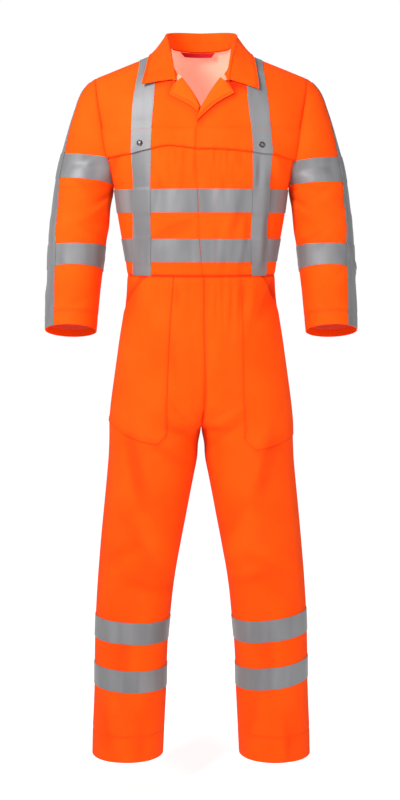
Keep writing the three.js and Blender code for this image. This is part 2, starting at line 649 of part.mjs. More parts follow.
// Row numbers of the bodice's points, for pieces that rise over others.
const bodiceRowOf = new Map();
for (const sheet of [front.left, front.right, back]) {
  sheet.index.forEach((row, r) => row.forEach((i) => bodiceRowOf.set(i, r)));
}
const FLAP_RISE = { [ROW.flapLow]: 2.4, [ROW.flapLow + 1]: 1.7, [ROW.flapHigh]: LAY };
const flapInner = (i) => FLAP_RISE[bodiceRowOf.get(i)] ?? LAY;
const bandRows = [
  [ROW.band1Low, ROW.armpit],
  [ROW.band2Low, ROW.band2High],
];
const onBand = (r) => bandRows.some(([low, high]) => r >= low && r <= high);
const braceInner = (i) => (onBand(bodiceRowOf.get(i)) ? LAY * 2 + TAPE : LAY);
const overFlap = (i) => {
  const r = bodiceRowOf.get(i);
  return FLAP_RISE[r] === undefined ? braceInner(i) : FLAP_RISE[r] + POCKET_CLOTH + LAY;
};
const plus = (offset, thick) => (i) => offset(i) + thick;

const backLast = lastCol(back);
const backBrace = {
  right: [OUTER_CELLS, OUTER_CELLS + 2],
  left: [backLast - OUTER_CELLS - 2, backLast - OUTER_CELLS],
};
for (const name of ['right', 'left']) {
  const sheet = front[name];
  const { lap, brace } = COL[name];
  const end = lastCol(sheet);
  const flap = block(sheet, ROW.flapLow, ROW.flapHigh, lap, end);
  put(shell(`chest_flap_${name}`, COLOURS.orange, bodice, flap, plus(flapInner, POCKET_CLOTH), flapInner));
  const lower = block(sheet, ROW.waist, ROW.flapLow + 1, brace, brace + 2);
  put(shell(`brace_tape_low_${name}`, COLOURS.tape, bodice, lower, plus(braceInner, TAPE), braceInner));
  const upper = [
    ...block(sheet, ROW.flapLow, ROW.top, brace, brace + 2),
    ...block(back, ROW.waist, ROW.top, ...backBrace[name]),
  ];
  put(shell(`brace_tape_high_${name}`, COLOURS.tape, bodice, upper, plus(overFlap, TAPE), overFlap));
  bandRows.forEach(([low, high], n) => {
    const band = block(sheet, low, high, lap, end);
    put(shell(`torso_band${n + 1}_front_${name}`, COLOURS.tape, bodice, band, LAY + TAPE, LAY));
  });
}
bandRows.forEach(([low, high], n) => {
  const band = block(back, low, high, 0, backLast);
  put(shell(`torso_band${n + 1}_back`, COLOURS.tape, bodice, band, LAY + TAPE, LAY));
});

// Angles of the columns round the sleeve, forward positive, from the front end to the back end.
function sleeveAngles(z, end) {
  const stripeFront = at(STRIPE, z, 'front');
  const stripeBack = at(STRIPE, z, 'back');
  const { front: nf, stripe: ns, back: nb } = SLEEVE_CELLS;
  const angles = [];
  for (let i = 0; i < nf; i += 1) {
    angles.push(mix(end, stripeFront, i / nf));
  }
  for (let i = 0; i < ns; i += 1) {
    angles.push(mix(stripeFront, stripeBack, i / ns));
  }
  for (let i = 0; i <= nb; i += 1) {
    angles.push(mix(stripeBack, -end, i / nb));
  }
  return angles;
}

// Swelling of the sleeve by its folds.
function sleeveRise(name, angle, z) {
  let rise = 0;
  for (const fold of SLEEVE_FOLDS[name]) {
    const apart = ((angle - fold.at + 540) % 360) - 180;
    const round = Math.cos(rad(apart / 2)) ** 2;
    const along = apart / fold.length;
    const across = (z - fold.z - fold.climb * apart * round) / fold.width;
    rise += fold.height * round * Math.exp(-along * along - across * across);
  }
  return rise;
}

// Row of the sleeve's head, between the front and the back edge of the armhole.
function headRow(name, head, n) {
  const bodiceRow = BODICE_ROWS[ROW.top - n];
  const x = edgeX(name, bodiceRow);
  const frontRim = bodicePoint(-1, name, x, bodiceRow);
  const backRim = bodicePoint(1, name, x, bodiceRow);
  const outerZ = head[name];
  const spread = (at(SLEEVE_OUTLINE, outerZ, 'x') - x) / (1 - Math.cos(rad(head.turn)));
  const centre = at(SLEEVE_OUTLINE, outerZ, 'x') - spread;
  return sleeveAngles(outerZ, head.turn).map((angle) => {
    const rim = angle > 0 ? frontRim : backRim;
    const sine = Math.sin(rad(head.turn));
    const depth = head.turn === 180 ? ARMPIT_DEPTH : Math.abs(rim[1]) / sine;
    const share = 1 - Math.abs(angle) / head.turn;
    const level = mix(rim[2], outerZ, 1 - (1 - share) ** 3);
    const grow = sleeveRise(name, angle, level) * Math.min(1, share * 3);
    const px = centre + spread * Math.cos(rad(angle)) + grow * Math.cos(rad(angle));
    const gap = mix(SLEEVE_GAP, ARMPIT_GAP, Math.max(0, (head.turn - 118) / 62)) * (n === 0 ? 1 : 1 - share);
    return [SIDE[name] * (px + gap), -(depth + grow) * Math.sin(rad(angle)), level];
  });
}

// Row of the sleeve below the armpit: an ellipse leaning forward.
function tubeRow(name, row) {
  const centre = (row.inner + row.outer) / 2;
  const spread = (row.outer - row.inner) / 2;
  return sleeveAngles(row.z, 180).map((angle) => {
    const grow = sleeveRise(name, angle, row.z);
    const forward = (row.depth + grow) * Math.sin(rad(angle));
    const px = centre + (spread + grow) * Math.cos(rad(angle));
    return [
      SIDE[name] * px,
      -row.shift - forward * Math.cos(rad(row.lean)),
      row.z + forward * Math.sin(rad(row.lean)),
    ];
  });
}

for (const name of ['right', 'left']) {
  const surface = new Surface();
  const headRows = SLEEVE_HEAD.map((head, n) => headRow(name, head, n));
  const rows = [...headRows, ...SLEEVE.map((row) => tubeRow(name, row))];
  const sheet = surface.grid(rows, name === 'right');
  surface.finish([]);
  const end = lastCol(sheet);
  const whole = block(sheet, 0, SLEEVE_ROW.cuff, 0, end);
  put(shell(`sleeve_${name}`, COLOURS.orange, surface, whole, 0, -CLOTH));
  const bands = [[SLEEVE_ROW.band1High, SLEEVE_ROW.band1Low], [SLEEVE_ROW.band2High, SLEEVE_ROW.band2Low]];
  bands.forEach(([high, low], n) => {
    const band = block(sheet, high, low, 0, end);
    put(shell(`sleeve_band${n + 1}_${name}`, COLOURS.tape, surface, band, LAY + TAPE, LAY));
  });
  const rowOf = new Map();
  sheet.index.forEach((row, r) => row.forEach((i) => rowOf.set(i, r)));
  const banded = (i) => bands.some(([a, b]) => rowOf.get(i) >= a && rowOf.get(i) <= b);
  const raised = (i) => (banded(i) ? LAY * 2 + TAPE : LAY);
  const stripeFrom = SLEEVE_CELLS.front;
  const stripe = block(sheet, 1, SLEEVE_ROW.cuff, stripeFrom, stripeFrom + SLEEVE_CELLS.stripe);
  put(shell(`sleeve_stripe_${name}`, COLOURS.tape, surface, stripe, plus(raised, TAPE), raised));
}

// Trousers: angle round the leg, 0 at the side and 180 at the inseam.
function trouserAngle(x, z) {
  const centre = at(TROUSER, z, 'centre');
  const half = at(TROUSER, z, 'outer') - centre;
  const share = (Math.min(1, Math.abs(x - centre) / half)) ** (at(TROUSER, z, 'power') / 2);
  return Math.acos(Math.sign(x - centre) * share);
}

function trouserPoint(face, name, angle, z, level, dip = 0) {
  const centre = at(TROUSER, z, 'centre');
  const half = at(TROUSER, z, 'outer') - centre;
  const power = 2 / at(TROUSER, z, 'power');
  const cosine = Math.cos(angle);
  const x = centre + half * Math.sign(cosine) * Math.abs(cosine) ** power;
  const depth = at(TROUSER, z, face < 0 ? 'front' : 'back') * Math.abs(Math.sin(angle)) ** power;
  const free = Math.min(1, depth / 45) * Math.min(1, (WAIST_Z - z) / 30);
  const sx = SIDE[name] * x;
  return [sx, face * (depth + foldRise(face, sx, z) * free - dip), level];
}

// Inner edge of a front on a row: the fly above the crotch, the inseam below.
function trouserInner(z) {
  if (z > CROTCH_Z) {
    return at(TROUSER_FLY, z, 'x');
  }
  return 2 * at(TROUSER, z, 'centre') - at(TROUSER, z, 'outer');
}

// Angles of the front columns of one leg and how far each is sunk under the lap.
function trouserColumns(name, z) {
  const above = z > CROTCH_Z;
  const pocketX = at(POCKET_INNER[name], Math.max(z, CROTCH_Z), 'x');
  const pocketAtCrotch = trouserAngle(at(POCKET_INNER[name], CROTCH_Z, 'x'), CROTCH_Z);
  const below = mix(pocketAtCrotch, LEG_MIDDLE, Math.min(1, (CROTCH_Z - z) / 300));
  const pocket = above ? trouserAngle(pocketX, z) : below;
  const { toPocket, pocket: cells } = LEG_CELLS;
  const lead = [];
  const dips = [];
  let from = above ? trouserAngle(trouserInner(z), z) : Math.PI;
  if (name === 'right') {
    if (z > FLY_LOW_Z) {
      const edge = -at(TROUSER_FLY, z, 'x');
      lead.push(trouserAngle(edge - UNDERLAP, z), trouserAngle(edge + 1, z));
      dips.push(LAP_DIP, LAP_DIP);
      from = trouserAngle(edge + LAP_SLOPE, z);
    } else {
      const inner = above ? -at(TROUSER_FLY, z, 'x') : 0;
      const start = above ? trouserAngle(inner, z) : Math.PI;
      lead.push(start, mix(start, pocket, 0.12));
      from = mix(start, pocket, 0.24);
    }
  }
  const angles = [...lead];
  for (let i = 0; i < toPocket; i += 1) {
    angles.push(mix(from, pocket, i / toPocket));
  }
  for (let i = 0; i <= cells; i += 1) {
    angles.push(mix(pocket, 0, i / cells));
  }
  return { angles, dips };
}

// Rows of a leg as functions: height of the section and level of the point at a distance from the middle.
function legRows(name) {
  const { highs, tilt, drop } = LEG_BANDS[name];
  const low = POCKET_LOW[name];
  const rows = LEG_ROWS.map((row) => ({
    z: row.z,
    level: (x, share) => row.z + row.warp * share * (straight(low, x, 'z', 'x') - CROTCH_Z),
  }));
  for (const high of highs) {
    for (const z of [high, high - drop / 2, high - drop]) {
      rows.push({ z, level: (x) => z + tilt * (x - at(TROUSER, z, 'centre')) });
    }
  }
  HEM_ROWS.forEach((row) => rows.push({ z: row.z, level: () => row.z }));
  return rows;
}

const trousers = new Surface();
const legs = {};
for (const name of ['right', 'left']) {
  const rows = legRows(name);
  const sideLevel = (row) => row.level(at(TROUSER, row.z, 'outer'), 1);
  const frontRows = rows.map((row) => {
    const { angles, dips } = trouserColumns(name, row.z);
    return angles.map((angle, i) => {
      const [px] = trouserPoint(-1, name, angle, row.z, row.z);
      const level = row.level(Math.abs(px), 1);
      const section = row.z > CROTCH_Z ? Math.max(level, CROTCH_Z + 0.5) : level;
      const place = row.z === CROTCH_Z ? row.z : section;
      return trouserPoint(-1, name, angle, place, level, dips[i] ?? 0);
    });
  });
  const backRows = rows.map((row) => {
    const start = row.z > CROTCH_Z ? trouserAngle(0, row.z) : Math.PI;
    const angles = [];
    for (let i = 0; i <= LEG_CELLS.back; i += 1) {
      angles.push(mix(0, start, i / LEG_CELLS.back));
    }
    return angles.map((angle, i) => {
      const [px] = trouserPoint(1, name, angle, row.z, row.z);
      const fade = Math.max(0, 1 - i / 4);
      const plain = row.level(Math.abs(px), 0);
      const level = mix(plain, sideLevel(row), i === 0 ? 1 : fade * fade);
      const place = i === 0 && row.z !== CROTCH_Z ? level : row.z;
      return trouserPoint(1, name, angle, place, level);
    });
  });
  legs[name] = {
    front: trousers.grid(frontRows, name === 'right'),
    back: trousers.grid(backRows, name === 'right'),
  };
}
trousers.finish([WAIST_Z]);

for (const name of ['right', 'left']) {
  const { front: fore, back: rear } = legs[name];
  const foreEnd = lastCol(fore);
  const rearEnd = lastCol(rear);
  const foreCells = block(fore, 0, LEG_ROW.hem + 1, 0, foreEnd);
  const rearCells = block(rear, 0, LEG_ROW.hem + 1, 0, rearEnd);
  put(shell(`trouser_front_${name}`, COLOURS.orange, trousers, foreCells, 0, -CLOTH));
  put(shell(`trouser_back_${name}`, COLOURS.orange, trousers, rearCells, 0, -CLOTH));
  const pocketFrom = foreEnd - LEG_CELLS.pocket;
  const pocket = [];
  for (let r = 0; r < LEG_ROW.crotch; r += 1) {
    for (let c = pocketFrom; c < foreEnd; c += 1) {
      const slant = c - (pocketFrom + 2) - r;
      const [near, far] = fore.cells[r][c];
      if (slant <= 0) {
        pocket.push(near);
      }
      if (slant < 0) {
        pocket.push(far);
      }
    }
  }
  put(shell(`pocket_${name}`, COLOURS.orange, trousers, pocket, LAY + POCKET_CLOTH, LAY));
  LEG_ROW.bands.forEach((high, n) => {
    const band = [...block(fore, high, high + 2, 0, foreEnd), ...block(rear, high, high + 2, 0, rearEnd)];
    put(shell(`leg_band${n + 1}_${name}`, COLOURS.tape, trousers, band, LAY + TAPE, LAY));
  });
}

// Collar: point where it meets the neck seam, by its place from the middle of the back.
function neckPoint(s) {
  if (s <= 0.5) {
    const turn = s * Math.PI;
    const x = NECK_HALF * Math.sin(turn);
    return new THREE.Vector3(x, NECK_BACK_Y * Math.cos(turn), NECK_BACK_Z * (1 - x / NECK_HALF));
  }
  const z = NOTCH_Z * (2 * s - 1) ** 1.3;
  const x = at(FRONT_EDGE.left, z, 'x');
  return new THREE.Vector3(x, -frontDepth(x, z), z);
}

// Depth of the front at a point of the chest or shoulder.
function frontDepth(x, z) {
  if (z <= ROLL_Z) {
    return flatDepth(-1, x, z);
  }
  const sine = (z - ROLL_Z) / (topEdge(-1, x).z - ROLL_Z);
  return flatDepth(-1, x, ROLL_Z) * Math.sqrt(Math.max(0, 1 - sine * sine));
}

// Moves a point outwards until it is clear of the shoulder by a distance.
function clearOfShoulder(p, distance) {
  const face = p.y < 0 ? -1 : 1;
  const top = topEdge(face, p.x);
  const low = flatDepth(face, p.x, ROLL_Z);
  const dy = face * p.y - top.y;
  const dz = p.z - ROLL_Z;
  if (dy < 0) {
    return p;
  }
  const share = Math.hypot(dy / (low - top.y), dz / (top.z - ROLL_Z));
  const reach = Math.hypot(dy, dz);
  const scale = Math.max(1, (reach / share + distance) / reach);
  return new THREE.Vector3(p.x, face * (top.y + dy * scale), ROLL_Z + dz * scale);
}

function collarRow(name, s) {
  const neck = neckPoint(s);
  const read = (column) => at(COLLAR, s, column, 's');
  const tip = COLLAR_TIP_SHIFT[name];
  const near = Math.max(0, s - 0.8) / 0.2;
  const fold = new THREE.Vector3(read('foldX'), read('foldY'), read('foldZ'));
  const edge = new THREE.Vector3(read('edgeX') + tip.x * near, read('edgeY'), read('edgeZ') + tip.z * near);
  const up = fold.clone().sub(neck).normalize();
  const out = edge.clone().sub(neck);
  out.addScaledVector(up, -out.dot(up)).normalize();
  const inner = fold.clone().addScaledVector(out, -FOLD_RADIUS).addScaledVector(up, -FOLD_RADIUS);
  const outer = fold.clone().addScaledVector(out, FOLD_RADIUS).addScaledVector(up, -FOLD_RADIUS);
  const start = neck.clone().addScaledVector(up, COLLAR_NECK_GAP);
  const stand = COLLAR_STEPS.stand.map((t) => start.clone().lerp(inner, t));
  const fall = COLLAR_STEPS.fall.map((t) => clearOfShoulder(outer.clone().lerp(edge, t), COLLAR_LIFT));
  return [...stand, fold, ...fall].map((p) => [SIDE[name] * p.x, p.y, p.z]);
}

const collarRows = [];
for (let i = -COLLAR_CELLS; i <= COLLAR_CELLS; i += 1) {
  collarRows.push(collarRow(i < 0 ? 'right' : 'left', Math.abs(i) / COLLAR_CELLS));
}
const collar = new Surface();
const collarSheet = collar.grid(collarRows, false);
collar.finish([]);
const collarCells = block(collarSheet, 0, 2 * COLLAR_CELLS, 0, lastCol(collarSheet));
put(shell('collar', COLOURS.orange, collar, collarCells, COLLAR_WALL / 2, -COLLAR_WALL / 2));

// Lapels: the fronts turned outwards on the line where they open.
for (const name of ['right', 'left']) {
  const rows = LAPEL[name].map((row) => {
    const points = [];
    for (let i = 0; i <= LAPEL_STEPS; i += 1) {
      const t = i / LAPEL_STEPS;
      const x = mix(row.turnX, row.edgeX, t);
      const z = mix(row.turnZ, row.edgeZ, t);
      const lift = mix(LAPEL_LIFT.turn, LAPEL_LIFT.edge, t) + LAPEL_BULGE * Math.sin(Math.PI * t ** 0.7);
      points.push([SIDE[name] * x, -frontDepth(x, z) - lift, z]);
    }
    return points;
  });
  const surface = new Surface();
  const sheet = surface.grid(rows, name === 'right');
  surface.finish([]);
  const cells = block(sheet, 0, rows.length - 1, 0, LAPEL_STEPS);
  put(shell(`lapel_${name}`, COLOURS.facing, surface, cells, LAPEL_WALL / 2, -LAPEL_WALL / 2));
}

// Neck label, hanging inside the back of the neck from its seam.
const labelRows = [0, 1].map((t) => {
  const points = [];
  for (let i = 0; i <= LABEL_CELLS; i += 1) {
    const high = mix(LABEL.topLeft, LABEL.topRight, i / LABEL_CELLS);
    const low = mix(LABEL.lowLeft, LABEL.lowRight, i / LABEL_CELLS);
    const x = mix(high, low, t);
    points.push([x, topEdge(1, x).y - LABEL_IN, mix(LABEL.topZ, LABEL.lowZ, t)]);
  }
  return points;
});
const labelSurface = new Surface();
const labelSheet = labelSurface.grid(labelRows, true);
labelSurface.finish([]);
const labelCells = block(labelSheet, 0, 1, 0, LABEL_CELLS);
put(shell('neck_label', COLOURS.label, labelSurface, labelCells, LABEL_CLOTH, 0));

// Press studs: a ring and a cap turned round the line straight out of the tape.
function turned(name, material, profile, place, outward) {
  const points = profile.map(([radius, height]) => new THREE.Vector2(radius, height));
  const mesh = new THREE.Mesh(new THREE.LatheGeometry(points, STUD.sides), material);
  mesh.name = name;
  mesh.position.copy(place);
  mesh.quaternion.setFromUnitVectors(new THREE.Vector3(0, 1, 0), outward);
  return mesh;
}

for (const name of ['right', 'left']) {
  const { x, z } = STUDS[name];
  const step = 1;
  const slopeX = (frontDepth(x + step, z) - frontDepth(x - step, z)) / (2 * step);
  const slopeZ = (frontDepth(x, z + step) - frontDepth(x, z - step)) / (2 * step);
  const outward = new THREE.Vector3(-slopeX * SIDE[name], -1, -slopeZ).normalize();
  const place = new THREE.Vector3(SIDE[name] * x, -frontDepth(x, z), z).addScaledVector(outward, STUD.base);
  const { outer, inner, cap, height, capHeight } = STUD;
  const ring = [[inner, 0], [outer, 0], [outer, height], [inner, height], [inner, 0]];
  const disc = [[0, 0], [cap, 0], [cap, capHeight * 0.6], [cap * 0.5, capHeight], [0, capHeight]];
  put(turned(`stud_ring_${name}`, COLOURS.ring, ring, place, outward));
  put(turned(`stud_cap_${name}`, COLOURS.cap, disc, place, outward));
}

export default suit;
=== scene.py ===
"""Looks of the boiler suit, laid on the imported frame.

Each piece of cloth is a grid of points worked out from the garment's own sizes: sections of the body,
the sleeves and the legs by height, joined by smooth curves. Creases move the grid along its own
normals, and each sheet then gets a thickness, a right side and a wrong side. Pieces that lie on a panel
are cut from the panel's grid and moved out. Tables are in millimetres, in the frame of the model: +Z is
up, the front looks along -Y, and "right" is the wearer's right, -X.
"""
import math

import bpy
import numpy as np
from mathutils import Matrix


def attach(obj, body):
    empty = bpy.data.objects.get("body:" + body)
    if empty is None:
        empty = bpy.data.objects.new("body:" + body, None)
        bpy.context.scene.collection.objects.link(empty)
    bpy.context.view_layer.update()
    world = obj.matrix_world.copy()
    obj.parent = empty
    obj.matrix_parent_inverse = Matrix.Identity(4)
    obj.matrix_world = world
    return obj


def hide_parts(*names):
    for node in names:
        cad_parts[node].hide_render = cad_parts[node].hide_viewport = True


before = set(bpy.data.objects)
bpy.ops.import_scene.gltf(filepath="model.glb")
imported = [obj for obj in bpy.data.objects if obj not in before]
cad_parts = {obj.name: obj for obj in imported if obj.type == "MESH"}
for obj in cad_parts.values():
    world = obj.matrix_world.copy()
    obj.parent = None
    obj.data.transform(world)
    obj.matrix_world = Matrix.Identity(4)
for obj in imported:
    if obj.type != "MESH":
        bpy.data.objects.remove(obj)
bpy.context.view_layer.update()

MM = 0.001
SIGN = {"right": -1, "left": 1}
FACE = {-1: "front", 1: "back"}

# Thickness of the cloths, how far apart pieces lie, how deep the right front dips under the left one, the
# step of the grids, and the angle in degrees past which an edge is sharp.
CLOTH = 1.4
POCKET_CLOTH = 1.2
TAPE = 0.9
LAY = 0.4
LAP_DIP = 2.0
GRID = 4.2
SHARP_ANGLE = 48

# Sewing: the margin inside a seam, the line of the fly stitching, one stitch, how high stitches lie on cloth
# and on tape, how far they are set in from edges, and the rows at which the fly and a brace tape end.
SEAM_ALLOWANCE = 14
FLY_STITCH_X = 30.5
STITCH = {"pitch": 3.4, "length": 2.5, "width": 0.55, "height": 0.35}
ON_CLOTH = 0.2
TAPE_STITCH = 0.1
TAPE_INSET = 2.0
SEAM_INSET = 3.5
FLY_INSET = 2.5
FLAP_INSETS = (3.0, 1.5)
FLY_TOP_ROW = 12.4
BRACE_TOP_ROW = 9.9

# Distance of a tape from the cloth over another tape, and of the chest flap on its rows.
OVER = LAY * 2 + TAPE
FLAP_LIFT = ([10, 11, 12], [3.6, 1.9, LAY])

# How far a crease rises for its stated height on the bodice, the legs and the sleeves, how deep the
# trough beside it is and how many half widths away, and how much a millimetre of rise sets the painted
# light on the cloth: paler as painted highlight on a ridge, deeper as painted shade in a trough.
CREASE_GAIN = {"bodice": 2.1, "legs": 1.2, "sleeves": 1.5}
TROUGH = 0.5
TROUGH_SHIFT = 1.8
CREASE_PAINTED_LIGHT = 0.24

# Folds come in over these distances: from the side line, from the waist seam, and from the middle of the
# front, which the fly keeps flat, folds and creases each from a start over a span. Between the folds the
# cloth drifts this far in and out.
SIDE_FADE = 45
WAIST_FADE = 30
FOLD_FADE = (32, 32)
CREASE_FADE = (10, 12)
DRIFT = 0.7

# Seams sunk in the cloth: the width of their dark line, and for each its depth, width and tone. The
# armhole's tone goes by height as painted shade, dark under the arm and faint on the shoulder. A softer
# painted shade lies beside the collar and the lapels.
GROOVE_LINE = 3.0
GROOVES = {
    "waist": (1.5, 4.5, 1.0), "armhole": (1.0, 4.0, 1.0), "sleeve_head": (0.8, 5.0, 1.0),
    "cuff_hem": (0.7, 3.0, 0.35), "side_seam": (0.9, 4.0, 0.7), "inseam": (0.9, 4.0, 0.8),
    "leg_hem": (0.6, 4.0, 0.45),
}
ARMHOLE_SHADE = ((-316, -190, -90), (0.9, 0.5, 0.22))
LAPEL_SHADE = {"right": 0.35, "left": 0.8}
SHADE_REACH = 11

# Bodice: levels of its seams, the neck and the shoulder's tip, the power of its sections, which are
# superellipses, the part of the right front under the left one, and the rows of flap and bands.
WAIST_Z = -507
ARMPIT_Z = -316
ROLL_Z = -184
ROLL_ROW = 12
NECK_HALF = 67
SHOULDER_TIP = (238, -67)
NECK_BACK_Y = 75
NECK_BACK_Z = -1
POWER = 2.3
UNDERLAP = 24
UNDERLAP_TOP_Z = -180
FLAP_ROWS = (10, 12)
BAND_ROWS = ((4, 6), (1, 2))
TOP_ROW = 19

# Grid cells between the columns of a front, from its edge to the brace tape, then on to the side; of half
# a back, to the neck's end and then to the brace tape; and the columns of the lap and the brace tape.
TAIL_CELLS = [7, 7, 7]
FRONT_CELLS = {"left": [10, 10, 10, 6, 6], "right": [4, 2, 8, 9, 10, 6, 6]}
BACK_CELLS = (15, [5, 5, 5])
LAP_COL = {"left": 0, "right": 1}
BRACE_COL = {"left": 3, "right": 5}
BACK_BRACE_COL = 5
ROWS_OF_BODICE = range(TOP_ROW + 1)

# Grid cells between the columns round a sleeve and round the front and the back of a leg.
SLEEVE_CELLS = [7] * 6 + [5] * 2 + [7] * 6
STRIPE_COLS = (6, 8)
LEG_CELLS = {"left": [9, 9, 8] + [6] * 6, "right": [4, 2, 8, 9, 8] + [6] * 6}
POCKET_COL = {"left": 3, "right": 5}
REAR_CELLS = [7] * 8
POCKET_COLS = 36

# Sleeves: how far the head stands off the armhole at the shoulder and under the arm, its half depth there,
# and the rows of the bands, the hem's seam, the cuff's edge and the cloth turned in at it.
SLEEVE_GAP = 0.4
ARMPIT_GAP = 2.2
ARMPIT_DEPTH = 77
SLEEVE_BANDS = ((9, 12), (17, 19))
HEM_SEAM_ROW = 22
CUFF_ROW = 23
CUFF_LINING_ROW = 22.3

# Trousers: levels and rows of the crotch, the fly's end, the bands and the hems. A band has the heights of
# its two upper edges at the middle of the leg and its tilt. Pockets have two lines of stitches, and a shade
# by their slanting opening: reach and tone.
CROTCH_Z = -868
CROTCH_ROW = 11
FLY_LOW_Z = -786
LEG_BAND_ROWS = (20, 23)
LEG_BANDS = {"right": (-1309, -1425.5, 0.045), "left": (-1302, -1417, 0.12)}
BAND_DROP = 52
HEM_LEVELS = (-1530, -1590, -1649)
LEG_HEM_Z = -1587
LEG_HEM_ROW = 27
LEG_END_ROW = 28
POCKET_LINES = (2.0, 8.0)
POCKET_SHADE = (12, 0.55)

# Collar and lapels: the fold, how far the leaf stays off the shoulder and the stand off the neck, the height
# of the notch, how far each side's tip lies from the drawn one, the lapels' lift at the turn and at the edge,
# the grid's rows and columns, the bows of stand and leaf, half thicknesses, and the edge stitching's inset.
FOLD_RADIUS = 3
COLLAR_LIFT = 4.2
COLLAR_NECK_GAP = 1.9
NOTCH_Z = -66
TIP_SHIFT = {"right": (1, 2), "left": (-3, -8)}
LAPEL_LIFT = (1.1, 2.4)
LAPEL_BULGE = 2.4
COLLAR_HALF_ROWS = 48
STAND_COLS, FOLD_COLS, LEAF_COLS = 10, 7, 17
STAND_BOW = 1.2
LEAF_BOW = 1.6
COLLAR_HALF = 0.8
LAPEL_HALF = 0.75
TOPSTITCH = 5.0

# Facing in the notches: heights of its open and outer edges, how far out it goes, and how it lies.
NOTCH = {"open_z": (-56, -85), "outer_z": (-58, -80), "outer_x": 62, "lift": 0.5, "cloth": 0.4}

# Label: from where to where its two edges run, their heights, its distance from the neck, its thickness.
LABEL = {"top": (-48, 32), "low": (-37.5, 24), "z": (-2.2, -12.5), "in": 3.7, "cloth": 0.9}

# Press studs: place, height over the chest, and the profiles of ring and cap as radius and height.
STUDS = {"right": (133, -217), "left": (132, -220.5)}
STUD_BASE = 5.3
STUD_SIDES = 40
RING = [(4.4, -0.5), (4.4, 1.3), (4.9, 1.8), (5.9, 1.75), (6.4, 1.2), (6.5, 0.3), (6.5, -0.5)]
CAP = [(4.15, -0.5), (4.15, 1.2), (3.9, 1.6), (3.2, 1.9), (2.2, 2.15), (1.1, 2.3), (0.05, 2.35)]

# Floor, in metres: its height and its half width.
FLOOR_Z = -1.76
STAGE = 5.0


def table(columns, *rows):
    """Columns of numbers by name."""
    return dict(zip(columns.split(), np.array(rows, float).T))


# Half width and the depth in front of and behind the side line, by height.
TORSO = table(
    "z half front back",
    (-507, 169, 112, 108), (-476, 173, 115, 108), (-425, 181.5, 119, 110), (-367, 191, 123, 113),
    (-316, 197, 125, 116), (-262, 205, 124, 118), (-230, 211, 122, 118), (-184, 219, 118, 116),
)
# Front and back edge of the armhole: distance from the middle and from the side line, by height.
ARMHOLE = table(
    "z x y",
    (-316, 197, 0), (-303, 198.5, 33), (-287, 201, 48), (-262, 205, 60), (-230, 211, 67),
    (-206, 215.5, 69), (-184, 219, 68), (-125, 230, 0), (-95, 235, 0), (-67, 238, 0),
)
# Rows of the bodice: flat rows by height, with the share of the chest flap's wave they follow,
# then rows that roll over the shoulder, by the angle turned.
BODICE_ROWS = table(
    "z wave turn",
    (-507, 0, 0), (-476, 0, 0), (-425, 0, 0), (-396, 0, 0), (-367, 0, 0), (-342, 0, 0),
    (-316, 0, 0), (-303, 0.1, 0), (-287, 0.3, 0), (-262, 0.7, 0), (-230, 1, 0), (-206, 0.6, 0),
    (-184, 0, 0), (0, 0, 9), (0, 0, 18), (0, 0, 30), (0, 0, 45), (0, 0, 62), (0, 0, 78),
    (0, 0, 90),
)
# Wave of the chest flap's lower edge: rise over the row's own height, by distance from the middle.
FLAP_WAVE = {
    "right": table(
        "x rise",
        (-30, 0), (6, 0), (45, 5), (77, 7), (106, 2), (134, -3.5), (154, -9), (214, -16),
    ),
    "left": table(
        "x rise",
        (-30, 0), (32, 0), (86, -3.5), (112, -6), (134, -8), (154, -9.5), (174, -15), (214, -26),
    ),
}
# Edges of the brace tapes: distance from the middle, by height.
BRACE = {
    "right": table(
        "z inner outer",
        (-507, 112, 154), (-427, 111, 152), (-300, 111, 150), (-215, 109, 152), (-168, 107, 152),
        (-125, 103, 150), (-90, 101, 145), (-40, 101, 137), (0, 101, 137),
    ),
    "left": table(
        "z inner outer",
        (-507, 113, 146), (-427, 110, 148), (-340, 113, 150), (-230, 112, 155), (-190, 110, 152),
        (-147, 104, 149), (-98, 100, 144), (-40, 101, 137), (0, 101, 137),
    ),
}
# Front edges, measured towards each side from the middle: the wearer's left front laps over the right.
# Above the lap they are the lines on which the lapels turn.
FRONT_EDGE = {
    "left": table(
        "z x",
        (-507, 6), (-476, 2), (-426, -3), (-366, -5), (-316, -7.5), (-231, -11), (-184, -10),
        (-155, -7), (-137, 1), (-84, 34), (-55, 58), (-20, 64.5), (0, 67),
    ),
    "right": table(
        "z x",
        (-184, -12), (-155, -6), (-137, 0), (-84, 34), (-55, 58), (-20, 64.5), (0, 67),
    ),
}
# Sleeve rows. In the head each row starts on a row of the armhole and reaches the outer line at the
# height given for each arm; the turn is the angle of its ends round the arm.
SLEEVE_HEAD = table(
    "turn right left",
    (90, -67, -67), (93, -76, -76), (96, -92, -92), (99, -112, -112), (102, -134, -135),
    (104, -155, -157), (106, -174, -178), (108, -192, -197), (112, -213, -220),
    (118, -236, -243), (128, -256, -263), (144, -273, -281), (158, -289, -298),
    (180, -316, -318),
)
# Below the armpit: height, forward shift and forward lean of the row's middle, its inner and outer
# edges and its half depth.
SLEEVE = table(
    "z shift lean inner outer depth",
    (-345, 0, 0, 205, 338, 77), (-380, 1, 1, 209, 343, 77), (-413, 3, 4, 214.5, 346, 77),
    (-443, 6, 7, 218.5, 348, 76.5), (-470, 10, 10, 221.5, 349, 76), (-497, 16, 13, 225, 350, 75),
    (-533, 25, 15, 229, 351.5, 74.5), (-570, 35, 16, 232, 353, 73.5),
    (-602, 44, 16, 235, 354, 72.5), (-632, 52, 16, 237.5, 354, 72),
)
# Outer line of the sleeve by height.
SLEEVE_OUTLINE = table(
    "z x",
    (-67, 238), (-76, 250), (-92, 265), (-112, 276), (-135, 284), (-160, 292.5), (-190, 302.5),
    (-225, 313), (-261, 323), (-297, 330.5), (-318, 334.5), (-345, 338),
)
